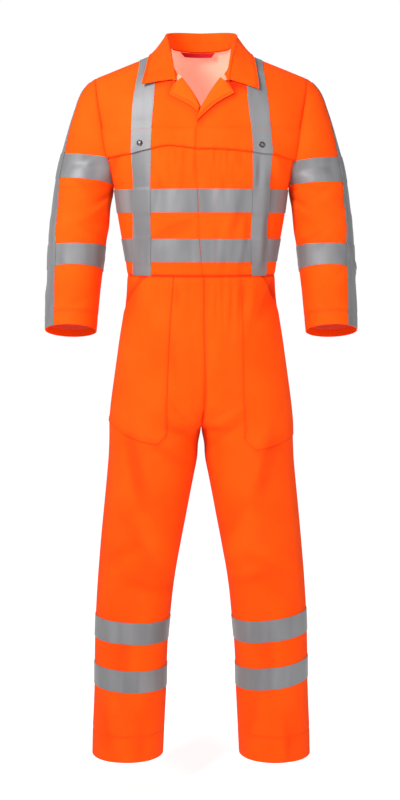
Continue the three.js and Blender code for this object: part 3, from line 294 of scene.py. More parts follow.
# Edges of the stripe down the sleeve: angles round the arm, forward of the outer line, by height.
STRIPE = table(
    "z front back",
    (-67, 8, -42), (-112, 14, -34), (-160, 20, -24), (-236, 31, -10), (-316, 40, -1),
    (-443, 49, 8), (-632, 58, 17),
)
# Trouser sections: centre of the leg's curve, outer edge, depths and roundness, by height.
TROUSER = table(
    "z centre outer front back power",
    (-507, 0, 169, 112, 108, 2.3), (-530, 0, 170, 112, 110, 2.3), (-570, 0, 173, 112, 115, 2.3),
    (-607, 0, 179, 113, 120, 2.28), (-660, 3, 188, 114, 127, 2.26),
    (-716, 17, 196, 114, 130, 2.24), (-763, 40, 203, 113, 127, 2.2),
    (-809, 69, 209, 110, 122, 2.18), (-845, 93, 212.5, 107, 116, 2.16),
    (-868, 107.3, 213.5, 105, 112, 2.15), (-925, 112, 216, 98, 103, 2.12),
    (-999, 122.5, 223, 92, 96, 2.1), (-1095, 136.5, 233, 86, 90, 2.1),
    (-1191, 150, 242, 82, 85, 2.1), (-1289, 160, 249, 79, 82, 2.1),
    (-1387, 166.5, 253, 77, 80, 2.1), (-1486, 169, 255, 76, 79, 2.1),
    (-1586, 174, 260, 76, 79, 2.1), (-1650, 176.5, 262, 76, 80, 2.1),
)
# Rows of a leg: height and the share of the pocket's lower edge they follow.
LEG_ROWS = table(
    "z warp",
    (-507, 0), (-530, 0), (-556, 0), (-580, 0), (-604, 0), (-650, 0), (-698, 0), (-742, 0),
    (-780, 0), (-815, 0.25), (-843, 0.6), (-868, 1), (-896, 0.6), (-930, 0.25), (-970, 0),
    (-1025, 0), (-1080, 0), (-1135, 0), (-1190, 0), (-1247, 0),
)
# Lower edge of each thigh pocket and its edge towards the middle.
POCKET_LOW = {
    "right": table(
        "x z",
        (0, -868), (30, -868), (78, -864), (101, -887), (136, -880), (169, -868), (197, -851),
        (216, -842),
    ),
    "left": table(
        "x z",
        (0, -868), (30, -868), (97, -874), (123, -899), (160, -894), (203, -880), (217, -872),
    ),
}
POCKET_INNER = {
    "right": table(
        "z x",
        (-507, 61), (-650, 70), (-800, 77), (-868, 78),
    ),
    "left": table(
        "z x",
        (-507, 88), (-650, 92), (-800, 95), (-868, 97),
    ),
}
# Fly edge on the trousers, by height, towards the wearer's left.
TROUSER_FLY = table(
    "z x",
    (-507, 6), (-560, 5.5), (-650, 6), (-756, 9), (-800, 8), (-843, 3), (-868, 1),
)
# Largest folds: middle in x and z on one face, angle of the crease from level, half length, half width
# and height over the cloth. face -1 is the front, 1 the back.
FOLDS = table(
    "face x z angle length width height",
    (-1, 60, -560, 88, 60, 13, 2.4), (-1, 96, -590, 84, 80, 20, 3.2),
    (-1, 24, -640, 92, 90, 16, 2.2), (-1, -60, -640, 86, 110, 34, 2.6),
    (-1, 62, -820, 28, 70, 20, 3.2), (-1, -60, -822, 152, 70, 20, 3.2),
    (-1, 118, -1010, 74, 130, 34, 4), (-1, -132, -1030, 106, 140, 36, 3.6),
    (-1, 140, -1180, 18, 60, 26, -3), (-1, -150, -1200, 160, 60, 28, -3),
    (-1, 182, -1560, 86, 90, 24, 3), (-1, -160, -1560, 95, 90, 26, 3),
    (-1, 92, -270, 82, 60, 17, 2.4), (-1, -60, -285, 95, 60, 22, 2.2),
    (-1, 62, -425, 90, 60, 18, 2.2), (1, 70, -430, 20, 80, 24, 3.6),
    (1, -66, -455, 162, 84, 22, 3.8), (1, 20, -250, 84, 90, 30, 3), (1, 96, -830, 32, 80, 24, 4),
    (1, -92, -836, 147, 84, 24, 4), (1, 150, -1150, 14, 70, 24, 3.6),
    (1, -152, -1172, 168, 70, 24, 3.6),
)
# Largest folds of the sleeves: angle round the arm (forward positive), height, climb of the crease in
# millimetres per degree, half length in degrees, half width and height over the cloth.
SLEEVE_FOLDS = {
    "right": table(
        "at z climb length width height",
        (70, -395, 0.5, 55, 17, 3.2), (96, -540, -0.35, 50, 18, 3),
        (-70, -430, 0.4, 60, 18, 3.4), (150, -410, 0.3, 40, 16, 3),
    ),
    "left": table(
        "at z climb length width height",
        (76, -385, 0.45, 55, 18, 3), (100, -552, -0.3, 50, 18, 3),
        (-66, -445, 0.45, 60, 18, 3.4), (148, -420, 0.3, 40, 16, 3),
    ),
}
# Collar, half of it from the middle of the back (0) to its front end (1): the top fold and the outer edge.
COLLAR = table(
    "s foldX foldY foldZ edgeX edgeY edgeZ",
    (0, 0, 79, 43, 0, 104, -14), (0.2, 43, 67, 42.5, 56, 92, -14),
    (0.35, 68, 42, 38.5, 91, 58, -12), (0.5, 79.5, 10, 30, 107, 12, -11),
    (0.65, 76, -26, 6, 117, -34, -24), (0.8, 69, -66, -24, 122, -70, -54),
    (0.92, 63, -92, -58, 127, -92, -78), (1, 60, -104, -82, 129, -100, -92),
)
# Turned lapel: outer edge of each, from its low end to the notch, with the turn line beside it.
LAPEL = {
    "left": table(
        "turnX turnZ edgeX edgeZ",
        (-8.6, -163, -9.2, -168), (1, -138, 8, -152), (16, -113, 36, -129), (31, -89, 72, -109),
        (42, -75, 60, -89),
    ),
    "right": table(
        "turnX turnZ edgeX edgeZ",
        (4, -139, 7.5, -149), (12, -119, 22, -137), (21, -105, 44, -125), (31, -89, 69, -112),
        (42, -75, 60, -89),
    ),
}

# Creases of the body, on the front (face -1) and the back (face 1): middle of each, angle from level,
# half length, half width, height, and how far it bends. A negative height is a trough.
CREASES = table(
    "face x z angle length width height bend",
    (-1, -22, -262, 78, 34, 9, 1.5, 0.2), (-1, 24, -252, 96, 20, 5, 1.3, -0.2),
    (-1, 38, -254, 84, 26, 5, 1.4, 0.1), (-1, 53, -256, 92, 30, 6, 1.5, 0.2),
    (-1, 68, -252, 80, 24, 6, 1.1, 0.2), (-1, 88, -256, 97, 20, 6, -1.0, 0.1),
    (-1, -44, -248, 86, 30, 6, 1.3, 0.2), (-1, -58, -262, 97, 34, 7, 1.2, -0.2),
    (-1, -30, -276, 80, 30, 6, -1.0, 0.1), (-1, -74, -244, 88, 24, 6, 1.0, 0.1),
    (-1, -148, -262, 100, 34, 9, 1.3, 0.2), (-1, -86, -258, 100, 40, 10, 1.2, -0.3),
    (-1, 40, -310, 82, 46, 8, 1.2, 0.2), (-1, 66, -316, 96, 40, 8, 1.0, -0.2),
    (-1, -54, -318, 78, 44, 10, 1.1, 0.2), (-1, -92, -322, 84, 36, 9, -1.0, 0.2),
    (-1, 129, -282, 88, 34, 7, -1.6, 0.1), (-1, 146, -430, 86, 60, 7, -1.6, 0.1),
    (-1, 104, -408, 92, 30, 7, -1.3, 0.1), (-1, 60, -400, 70, 36, 9, 1.1, 0.2),
    (-1, 172, -270, 112, 46, 13, 1.8, 0.3), (-1, -168, -262, 70, 44, 13, 1.8, -0.3),
    (-1, 82, -372, 70, 46, 14, -1.4, 0.3),
    (-1, -60, -404, 24, 70, 16, -1.4, -0.3), (-1, 46, -452, 86, 32, 7, 1.6, 0.1),
    (-1, 64, -448, 98, 30, 8, 1.5, -0.1), (-1, 84, -462, 82, 34, 9, 1.2, 0.2),
    (-1, -90, -470, 96, 36, 12, 1.0, 0.2), (-1, 28, -545, 89, 52, 7, 1.9, 0.05),
    (-1, 42, -552, 92, 60, 6, 1.7, 0.1), (-1, 60, -548, 88, 70, 8, 2.0, -0.1),
    (-1, 78, -560, 90, 82, 7, 1.8, 0.1), (-1, 112, -556, 84, 60, 10, 1.6, 0.2),
    (-1, -36, -546, 92, 40, 9, 1.1, 0.1), (-1, -88, -550, 85, 50, 12, 1.3, -0.2),
    (-1, -124, -566, 74, 56, 14, 1.4, 0.3), (-1, 150, -560, 66, 50, 14, -1.6, 0.2),
    (-1, 34, -700, 84, 90, 16, 1.6, 0.3), (-1, -30, -716, 98, 84, 15, 1.5, -0.3),
    (-1, 26, -800, 52, 52, 11, 2.0, 0.4), (-1, -30, -806, 130, 50, 12, 2.0, -0.4),
    (-1, 44, -836, 30, 60, 10, 2.2, 0.3), (-1, -46, -838, 150, 58, 11, 2.2, -0.3),
    (-1, 70, -880, 40, 70, 13, 1.8, 0.3), (-1, -66, -884, 142, 68, 13, 1.8, -0.3),
    (-1, 150, -930, 78, 90, 18, -2.0, 0.2), (-1, -150, -940, 100, 96, 18, -1.8, -0.2),
    (-1, 100, -1090, 64, 74, 18, 1.2, 0.4), (-1, -112, -1110, 114, 78, 18, 1.2, -0.4),
    (-1, 168, -1150, 150, 44, 14, 1.1, 0.3), (-1, -176, -1166, 32, 46, 14, 1.0, -0.3),
    (-1, 118, -1206, 20, 48, 13, -0.9, 0.2), (-1, -122, -1224, 162, 50, 13, -0.9, -0.2),
    (-1, 196, -1390, 94, 90, 22, 1.6, 0.2), (-1, -140, -1386, 84, 96, 22, 1.6, -0.2),
    (-1, 140, -1560, 80, 60, 14, 1.4, 0.3), (-1, -196, -1566, 100, 66, 15, 1.5, -0.3),
    (-1, 206, -1606, 92, 42, 10, -1.2, 0.2), (-1, -120, -1610, 86, 40, 11, 1.2, 0.2),
    (1, -110, -140, 58, 70, 18, 1.8, 0.3), (1, 116, -150, 124, 66, 17, 1.9, -0.3),
    (1, -18, -190, 92, 110, 20, 1.5, 0.2), (1, 150, -250, 118, 70, 16, 2.2, 0.3),
    (1, -152, -262, 64, 74, 17, 2.0, -0.3), (1, -40, -330, 86, 80, 16, 1.4, 0.2),
    (1, 46, -352, 97, 90, 18, -1.6, 0.2), (1, -120, -404, 28, 70, 13, 2.2, 0.3),
    (1, 112, -396, 152, 74, 14, 2.2, -0.3), (1, 0, -448, 4, 90, 12, 2.0, 0.4),
    (1, -60, -484, 88, 30, 8, 1.8, 0.1), (1, -36, -486, 92, 26, 7, 1.6, 0.1),
    (1, -8, -482, 89, 30, 8, 1.9, -0.1), (1, 22, -486, 91, 28, 7, 1.7, 0.1),
    (1, 48, -484, 87, 32, 8, 1.8, 0.1), (1, 80, -488, 94, 26, 9, 1.6, -0.1),
    (1, -64, -546, 90, 44, 8, 2.0, 0.1), (1, -40, -552, 88, 56, 7, 1.8, -0.1),
    (1, -12, -544, 91, 42, 8, 2.0, 0.1), (1, 16, -550, 89, 52, 8, 1.9, 0.1),
    (1, 44, -546, 92, 46, 7, 1.8, -0.1), (1, 72, -554, 86, 58, 9, 2.0, 0.1),
    (1, -120, -640, 80, 90, 20, 1.8, 0.3), (1, 124, -650, 100, 92, 20, 1.8, -0.3),
    (1, 30, -780, 60, 60, 14, 2.4, 0.4), (1, -34, -790, 122, 62, 14, 2.4, -0.4),
    (1, 74, -900, 30, 66, 14, 2.6, 0.3), (1, -78, -912, 150, 68, 14, 2.6, -0.3),
    (1, 130, -1000, 84, 110, 22, 2.0, 0.3), (1, -138, -1010, 96, 112, 22, 2.0, -0.3),
    (1, 110, -1120, 22, 56, 13, 2.6, 0.3), (1, -116, -1140, 160, 58, 13, 2.6, -0.3),
    (1, 176, -1190, 162, 52, 14, 2.2, 0.3), (1, -172, -1206, 18, 54, 14, 2.2, -0.3),
    (1, 170, -1380, 88, 110, 24, 1.6, 0.2), (1, -176, -1400, 94, 104, 24, 1.6, -0.2),
    (1, 190, -1580, 84, 60, 14, 1.6, 0.2), (1, -160, -1590, 96, 56, 14, 1.6, 0.2),
)

# Creases of the sleeves: angle round the arm, height, climb in millimetres a degree, half length in
# degrees, half width and height.
SLEEVE_CREASES = {
    "right": table(
        "at z climb length width height",
        (118, -235, 0.9, 40, 9, 1.6), (96, -330, -0.8, 46, 11, 1.6), (40, -372, 0.5, 40, 12, 1.4),
        (140, -352, 0.7, 36, 9, 2.0), (122, -424, -0.5, 34, 9, 1.9), (-110, -400, -0.5, 44, 11, 2.2),
        (-60, -470, 0.6, 40, 10, 2.0), (-130, -450, 0.6, 36, 9, 2.0), (60, -500, -0.9, 40, 12, 1.4),
        (104, -586, 0.5, 44, 12, 1.4), (30, -566, -1.1, 30, 14, 1.3), (-90, -560, 0.5, 50, 13, 1.8),
        (-100, -250, -0.7, 46, 12, 2.2), (-60, -180, 0.9, 40, 13, 2.0), (60, -150, -0.9, 34, 12, 1.0),
    ),
    "left": table(
        "at z climb length width height",
        (116, -242, 0.9, 38, 9, 1.5), (92, -342, -0.7, 46, 11, 1.5), (44, -360, 0.6, 40, 12, 1.4),
        (138, -362, 0.6, 36, 9, 2.0), (118, -436, -0.5, 34, 9, 2.0), (-112, -410, -0.5, 44, 11, 2.2),
        (-56, -482, 0.6, 40, 10, 2.0), (-128, -462, 0.6, 36, 9, 2.0), (36, -466, 1.4, 24, 10, 1.7),
        (20, -486, 1.6, 20, 9, 1.5), (70, -520, -0.8, 40, 12, 1.4), (98, -598, 0.5, 44, 12, 1.4),
        (-94, -570, 0.5, 50, 13, 1.8), (-98, -262, -0.7, 46, 12, 2.2), (-62, -192, 0.9, 40, 13, 2.0),
    ),
}


def cubic(t, span, ends, slopes):
    """Value at t of the cubic that meets two values with two slopes over a span."""
    low = (2 * t**3 - 3 * t**2 + 1) * ends[0] + (t**3 - 2 * t**2 + t) * span * slopes[0]
    return low + (3 * t**2 - 2 * t**3) * ends[1] + (t**3 - t**2) * span * slopes[1]


def at(tab, key, column, by="z"):
    """Value of a column at some keys, on a smooth curve through the rows.

    Each span between two rows is the cubic that meets both values, with slopes shared at the rows.
    """
    k, v = tab[by], tab[column]
    if k[-1] < k[0]:
        k, v = k[::-1], v[::-1]
    slope = np.empty(len(v))
    slope[1:-1] = (v[2:] - v[:-2]) / (k[2:] - k[:-2])
    slope[0] = (v[1] - v[0]) / (k[1] - k[0])
    slope[-1] = (v[-1] - v[-2]) / (k[-1] - k[-2])
    key = np.clip(np.asarray(key, float), k[0], k[-1])
    i = np.clip(np.searchsorted(k, key, side="right") - 1, 0, len(k) - 2)
    span = k[i + 1] - k[i]
    return cubic((key - k[i]) / span, span, (v[i], v[i + 1]), (slope[i], slope[i + 1]))


def unit(v):
    """Vectors scaled to length one; a vector of no length stays as it is."""
    return v / np.maximum(np.linalg.norm(v, axis=-1, keepdims=True), 1e-9)


def numbering(cells):
    """Table column of each grid column, with some grid cells in each table column."""
    return np.concatenate([i + np.arange(n) / n for i, n in enumerate(cells)] + [[len(cells)]])


def refine(rows, step):
    """Rows joined by smooth curves, one a column, about a step apart; also the number of each row.

    The slope at a row is the mean of the chords on its two sides, each weighted by the other's length.
    """
    rows = np.asarray(rows, float)
    gaps = np.maximum(np.linalg.norm(np.diff(rows, axis=0), axis=2).mean(1), 1e-6)
    counts = np.maximum(1, np.round(gaps / step)).astype(int)
    number = numbering(counts)
    h = gaps[:, None, None]
    chord = np.diff(rows, axis=0) / h
    middle = (chord[:-1] * h[1:] + chord[1:] * h[:-1]) / (h[:-1] + h[1:])
    slope = np.concatenate([chord[:1], middle, chord[-1:]])
    i = np.minimum(number.astype(int), len(gaps) - 1)
    t = (number - i)[:, None, None]
    return cubic(t, h[i], (rows[i], rows[i + 1]), (slope[i], slope[i + 1])), number


def between(values, low, high):
    """The values inside a range, with its two ends."""
    inside = values[(values > low + 1e-6) & (values < high - 1e-6)]
    return np.concatenate([[low], inside, [high]])


class Sheet:
    """A grid of points with outward normals, cloth coordinates in metres, and its table rows and columns."""

    def __init__(self, points, number, columns, outward, closed=False, still=()):
        self.points = points
        self.number = number
        self.columns = np.asarray(columns, float)
        self.outward = outward
        self.closed = closed
        self.still = still
        self.tone = np.zeros(points.shape[:2])
        self.measure()
        self.turn()

    def measure(self):
        """Distances over the cloth: u along each row, and v down the sheet by the mean step of its rows."""
        across = np.linalg.norm(np.diff(self.points, axis=1), axis=2)
        down = np.linalg.norm(np.diff(self.points, axis=0), axis=2).mean(1)
        self.u = np.concatenate([np.zeros((len(self.points), 1)), np.cumsum(across, 1)], 1)
        v = np.concatenate([[0], np.cumsum(down)])
        self.v = np.broadcast_to(v[:, None], self.u.shape)

    def turn(self):
        """Normals across the grid, turned outwards and kept level or square where pieces meet."""
        p = self.points
        along = np.gradient(p, axis=1)
        if self.closed:
            along[:, 0] = along[:, -1] = p[:, 1] - p[:, -2]
        normal = np.cross(along, np.gradient(p, axis=0))
        outward = self.outward
        if outward is None:
            outward = p - p.mean(1, keepdims=True)
        outward = np.array(outward, float)
        self.flip = bool((normal * outward).sum() < 0)
        normal = unit(-normal if self.flip else normal)
        flat = np.linalg.norm(normal, axis=2).min(1) < 0.5
        normal[0] = normal[1] if flat[0] else normal[0]
        if not self.closed:
            normal[..., 1] = np.where(np.abs(p[..., 1]) < 0.05, 0, normal[..., 1])
        for z in self.still:
            normal[..., 2] = np.where(np.abs(p[..., 2] - z) < 0.5, 0, normal[..., 2])
        self.normals = unit(normal)

    def push(self, rise):
        """Moves the cloth along its normals, and turns the normals afresh."""
        self.points = self.points + self.normals * rise[..., None]
        self.turn()

    def pick(self, rows, cols):
        """Points, normals, u, v and tone at fractional places of the grid, given in grid steps."""
        r = np.clip(np.asarray(rows, float), 0, len(self.points) - 1)
        c = np.clip(np.asarray(cols, float), 0, self.points.shape[1] - 1)
        r0 = np.minimum(r.astype(int), len(self.points) - 2)
        c0 = np.minimum(c.astype(int), self.points.shape[1] - 2)
        fr, fc = r - r0, c - c0
        found = []
        for a in (self.points, self.normals, self.u, self.v, self.tone):
            shape = (1,) * (a.ndim - 2)
            wr, wc = fr.reshape(fr.shape + shape), fc.reshape(fc.shape + shape)
            low = a[r0, c0] * (1 - wc) + a[r0, c0 + 1] * wc
            high = a[r0 + 1, c0] * (1 - wc) + a[r0 + 1, c0 + 1] * wc
            found.append(low * (1 - wr) + high * wr)
        return found

    def row(self, number):
        """Grid row of a table row."""
        return np.interp(number, self.number, np.arange(len(self.number)))

    def col(self, column):
        """Grid column of a table column."""
        return np.interp(column, self.columns, np.arange(len(self.columns)))

    def part(self, rows, cols):
        """A piece of the sheet: table rows by table columns, each column value allowed to change by row."""
        rows = self.row(np.asarray(rows, float))[:, None]
        cols = self.col(np.atleast_2d(np.asarray(cols, float)))
        rows, cols = np.broadcast_arrays(rows, cols)
        piece = Sheet.__new__(Sheet)
        piece.points, piece.normals, piece.u, piece.v, piece.tone = self.pick(rows, cols)
        piece.normals = unit(piece.normals)
        piece.flip = self.flip
        piece.closed = False
        piece.number = np.arange(len(rows))
        piece.columns = np.arange(rows.shape[1])
        return piece

    def span(self, low, high):
        """Table rows of all grid rows between two table rows, both included."""
        return between(self.number, low, high)

    def reach(self, low, high):
        """Table columns of all grid columns between two table columns, both included."""
        return between(self.columns, low, high)


def make(name, verts, quads, corners, slots, face_slots, tone=None):
    """An object of four-sided faces at the origin, with cloth coordinates at each corner."""
    mesh = bpy.data.meshes.new(name)
    mesh.vertices.add(len(verts))
    mesh.vertices.foreach_set("co", (np.asarray(verts) * MM).astype(np.float32).ravel())
    mesh.loops.add(quads.size)
    mesh.loops.foreach_set("vertex_index", quads.astype(np.int32).ravel())
    mesh.polygons.add(len(quads))
    mesh.polygons.foreach_set("loop_start", np.arange(0, quads.size, quads.shape[1], dtype=np.int32))
    mesh.polygons.foreach_set("material_index", np.asarray(face_slots, np.int32))
    mesh.update(calc_edges=True)
    if corners is not None:
        layer = mesh.uv_layers.new(name="cloth")
        layer.data.foreach_set("uv", (corners * MM).astype(np.float32).ravel())
    if tone is not None:
        layer = mesh.attributes.new("tone", "FLOAT", "POINT")
        layer.data.foreach_set("value", tone.astype(np.float32).ravel())
    mesh.validate()
    mesh.shade_smooth()
    mesh.set_sharp_from_angle(angle=math.radians(SHARP_ANGLE))
    obj = bpy.data.objects.new(name, mesh)
    bpy.context.scene.collection.objects.link(obj)
    for item in slots:
        mesh.materials.append(item)
    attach(obj, "root")
    return obj


def wall(name, sheet, high, low, slots, inner_slots=None):
    """A closed sheet of cloth: the grid moved out by two distances, joined round its rim."""
    p, n = sheet.points, sheet.normals
    rows, cols = p.shape[:2]
    used = cols - 1 if sheet.closed else cols
    high = np.broadcast_to(np.asarray(high, float), (rows, cols))[..., None]
    low = np.broadcast_to(np.asarray(low, float), (rows, cols))[..., None]
    index = np.arange(rows * used).reshape(rows, used)
    if sheet.closed:
        index = np.hstack([index, index[:, :1]])
    verts = np.concatenate([(p + n * d)[:, :used].reshape(-1, 3) for d in (high, low)])
    uv = np.stack([sheet.u, sheet.v], -1)
    here, next_one = slice(0, -1), slice(1, None)
    ring = (here, here), (here, next_one), (next_one, next_one), (next_one, here)
    outer = np.stack([index[s] for s in ring], -1).reshape(-1, 4)
    outer_uv = np.stack([uv[s] for s in ring], -2).reshape(-1, 4, 2)
    borders = [(index[0], uv[0]), (index[-1][::-1], uv[-1][::-1])]
    if not sheet.closed:
        borders += [(index[:, -1], uv[:, -1]), (index[::-1, 0], uv[::-1, 0])]
    far = rows * used
    rim, rim_uv = [], []
    for line, place in borders:
        a, b = line[:-1], line[1:]
        rim.append(np.stack([b, a, a + far, b + far], -1))
        rim_uv.append(np.stack([place[1:], place[:-1], place[:-1], place[1:]], -2))
    rim, rim_uv = np.concatenate(rim), np.concatenate(rim_uv)
    inner, inner_uv = outer[:, ::-1] + far, outer_uv[:, ::-1]
    quads = np.concatenate([outer, inner, rim])
    corners = np.concatenate([outer_uv, inner_uv, rim_uv])
    if sheet.flip:
        quads, corners = quads[:, ::-1], corners[:, ::-1]
    if inner_slots is None:
        inner_slots = np.full(rows - 1, len(slots) - 1)
    inner_slots = np.asarray(inner_slots)
    inside = np.broadcast_to(inner_slots.reshape(rows - 1, -1), (rows - 1, cols - 1)).ravel()
    face_slots = np.concatenate([np.zeros(len(outer), int), inside, np.zeros(len(rim), int)])
    tone = np.tile(sheet.tone[:, :used].ravel(), 2)
    return make(name, verts, quads, corners, slots, face_slots, tone)


def section_half(face, z):
    """Half width of the full section that passes through the armhole's edge."""
    depth = at(TORSO, z, FACE[face])
    share = np.clip(at(ARMHOLE, z, "y") / depth, 0, 0.99) ** POWER
    above = at(ARMHOLE, z, "x") / (1 - share) ** (1 / POWER)
    return np.where(np.asarray(z) <= ARMPIT_Z, at(TORSO, z, "half"), above)


def flat_depth(face, x, z):
    """Distance of the body from the side line: a superellipse section."""
    share = np.minimum(1, np.abs(x) / section_half(face, z))
    return at(TORSO, z, FACE[face]) * (1 - share**POWER) ** (1 / POWER)


def top_edge(face, x):
    """Depth and height of the bodice's top: the shoulder seam, and the neck seam behind the neck."""
    share = np.minimum(1, np.abs(x) / NECK_HALF)
    fall = SHOULDER_TIP[1] / (SHOULDER_TIP[0] - NECK_HALF)
    shoulder = np.maximum(0, np.abs(x) - NECK_HALF) * fall
    if face < 0:
        return 0 * shoulder, shoulder
    neck = np.abs(x) < NECK_HALF
    depth = np.where(neck, NECK_BACK_Y * np.sqrt(1 - share**2), 0)
    return depth, np.where(neck, NECK_BACK_Z * (1 - share), shoulder)


def row_height(row, top=0.0):
    """Height of a bodice row whose top is at a given height."""
    if row <= ROLL_ROW:
        return BODICE_ROWS["z"][row]
    return ROLL_Z + (top - ROLL_Z) * math.sin(math.radians(BODICE_ROWS["turn"][row]))


def bodice_points(face, side, x, row, dip=0.0):
    """Points of one bodice row at distances x from the middle, sunk inwards by dip."""
    x = np.asarray(x, float)
    if row <= ROLL_ROW:
        z = row_height(row) + BODICE_ROWS["wave"][row] * at(FLAP_WAVE[side], x, "rise", "x")
        y = flat_depth(face, x, z)
    else:
        turn = math.radians(BODICE_ROWS["turn"][row])
        top_y, top_z = top_edge(face, x)
        y = top_y + (flat_depth(face, x, ROLL_Z) - top_y) * math.cos(turn)
        z = ROLL_Z + (top_z - ROLL_Z) * math.sin(turn)
    return np.stack([SIGN[side] * x, face * (y - dip), z], -1)


def edge_x(side, row):
    """Distance of the armhole or the side seam from the middle on a row."""
    if row <= ROLL_ROW:
        z = row_height(row)
        if z <= ARMPIT_Z:
            return float(at(TORSO, z, "half"))
        return float(at(ARMHOLE, z + BODICE_ROWS["wave"][row] * FLAP_WAVE[side]["rise"][-1], "x"))
    x = float(at(ARMHOLE, ROLL_Z, "x"))
    for _ in range(6):
        x = float(at(ARMHOLE, row_height(row, float(top_edge(-1, x)[1])), "x"))
    return x


def tail(face, side, row, start, cells):
    """Distances from the outer edge of the brace tape to the side, evenly round the section."""
    half = float(section_half(face, row_height(row) if row <= ROLL_ROW else ROLL_Z))
    end = min(half, edge_x(side, row))
    turned = np.linspace(*(math.asin(min(1, x / half) ** (POWER / 2)) for x in (start, end)), cells + 1)
    x = half * np.sin(turned) ** (2 / POWER)
    x[0], x[-1] = start, end
    return x


def brace(side, row):
    """Distances of the brace tape's inner edge, middle and outer edge on a row."""
    z = row_height(row, -20.0)
    inner, outer = (float(at(BRACE[side], z, k)) for k in ("inner", "outer"))
    return [inner, (inner + outer) / 2, outer]


def front_row(side, row):
    """One row of a front: evenly from its edge to the brace tape, and from there round to the side.

    On the right the first columns are the part that lies under the left front's lap, sunk by its dip.
    """
    z = row_height(row)
    dips = [0.0] * 3
    if side == "left":
        edge = float(at(FRONT_EDGE["left"], z, "x"))
        inner = brace(side, row)[0]
        start = [edge, edge + (inner - edge) / 3, edge + (inner - edge) * 2 / 3]
    elif z < UNDERLAP_TOP_Z:
        edge = -float(at(FRONT_EDGE["left"], z, "x"))
        rest = brace(side, row)[0] - edge - 8
        start = [edge - UNDERLAP, edge + 1, edge + 8, edge + 8 + rest * 0.36, edge + 8 + rest * 0.7]
        dips = [LAP_DIP, LAP_DIP, 0.0]
    else:
        edge = float(at(FRONT_EDGE["right"], z, "x"))
        step = (brace(side, row)[0] - edge) / 5
        start = [edge + step * n for n in (0, 0.6, 1.5, 2.7, 3.9)]
        dips = [LAP_DIP, LAP_DIP * 0.8, 0.0] if z < -120 else dips
    anchors = start + brace(side, row)
    q = numbering(FRONT_CELLS[side])
    x = np.interp(q, np.arange(len(anchors)), anchors)
    x = np.concatenate([x, tail(-1, side, row, anchors[-1], sum(TAIL_CELLS))[1:]])
    dip = np.interp(np.arange(len(x)), [0, FRONT_CELLS[side][0], sum(FRONT_CELLS[side][:2])], dips)
    return bodice_points(-1, side, x, row, dip)


def back_row(row):
    """One row of the back, its two halves from the middle: by a sine to the neck's end, then as a front."""
    halves = []
    for side in ("right", "left"):
        inner = NECK_HALF * np.sin(np.linspace(0, math.pi / 2, BACK_CELLS[0] + 1))
        x = np.interp(numbering(BACK_CELLS[1]), np.arange(4), [NECK_HALF] + brace(side, row))
        x = np.concatenate([inner, x[1:], tail(1, side, row, x[-1], sum(TAIL_CELLS))[1:]])
        halves.append(bodice_points(1, side, x, row))
    return np.concatenate([halves[0][:0:-1], halves[1]])


def ridge(across, trough):
    """Section of a crease: a bell, and a shallower one the other way beside it where a trough is wanted."""
    return np.exp(-(across**2)) - TROUGH * np.exp(-((across - TROUGH_SHIFT) ** 2) * 0.8) * trough


def crease_rise(tab, a, b, face):
    """Height of creases on one face: each a ridge on a line bent by a parabola, with fading ends."""
    rise = np.zeros(np.broadcast(a, b).shape)
    bends = tab.get("bend", np.zeros(len(tab["z"])))
    for i in range(len(tab["z"])):
        if tab["face"][i] != face:
            continue
        c, s = math.cos(math.radians(tab["angle"][i])), math.sin(math.radians(tab["angle"][i]))
        along = ((a - tab["x"][i]) * c + (b - tab["z"][i]) * s) / tab["length"][i]
        across = (-(a - tab["x"][i]) * s + (b - tab["z"][i]) * c) / tab["width"][i] - bends[i] * along**2
        rise += tab["height"][i] * np.exp(-(along**2)) * ridge(across, bool(bends[i]))
    return rise


def body_rise(face, p):
    """Folds and creases of the body and the legs, and the creases alone.

    All of it fades towards the side line and the waist seam, and on the front towards the fly. Between the
    folds the cloth drifts in and out by a product of two sines.
    """
    x, y, z = p[..., 0], p[..., 1], p[..., 2]
    depth = np.minimum(1, np.abs(y) / SIDE_FADE)
    seam = np.minimum(1, np.abs(z - WAIST_Z) / WAIST_FADE)
    still, calm = 1.0, 1.0
    if face < 0:
        fades = (FOLD_FADE, CREASE_FADE)
        still, calm = (np.clip((np.abs(x) - start) / reach, 0, 1) for start, reach in fades)
    big = crease_rise(FOLDS, x, z, face) * still * seam
    gain = np.interp(z, [-720, -600], [CREASE_GAIN["legs"], CREASE_GAIN["bodice"]])
    small = crease_rise(CREASES, x, z, face) * calm * (0.4 + 0.6 * seam) * gain
    drift = DRIFT * np.sin(x / 23 + 1.3 * np.sin(z / 61)) * np.sin(z / 47 + 2 * np.sin(x / 90)) * calm * seam
    return (big + small + drift) * depth, small * depth


def tint(sheet, rise, part):
    """Painted light and shade in the tone of the cloth, paler below nought and deeper above it.

    It paints highlights on creases, the chest, the sleeves and the upper legs, and shade in troughs, on the
    lower legs and on the sides of the legs.
    """
    x, z = sheet.points[..., 0], sheet.points[..., 2]
    # Painted highlight on crease ridges, painted shade in their troughs.
    sheet.tone = sheet.tone + np.clip(-CREASE_PAINTED_LIGHT * rise, -0.5, 0.4)
    # Painted highlight on the chest, where the light falls most.
    if part == "bodice":
        sheet.tone = sheet.tone - 0.25 * np.exp(-(((z + 290) / 190) ** 2) - (x / 170) ** 2)
    # Painted light: the sleeves paler all over.
    if part == "sleeves":
        sheet.tone = sheet.tone - 0.16
    # Painted shade: the lower legs darker than the upper, and the sides of the legs darker where they turn
    # from the light.
    if part == "legs":
        painted_side_shade = np.clip((np.abs(sheet.normals[..., 0]) - 0.7) / 0.3, 0, 1) ** 2
        sheet.tone = sheet.tone + np.interp(z, (-1050, -800), (0.12, -0.1)) + 0.35 * painted_side_shade


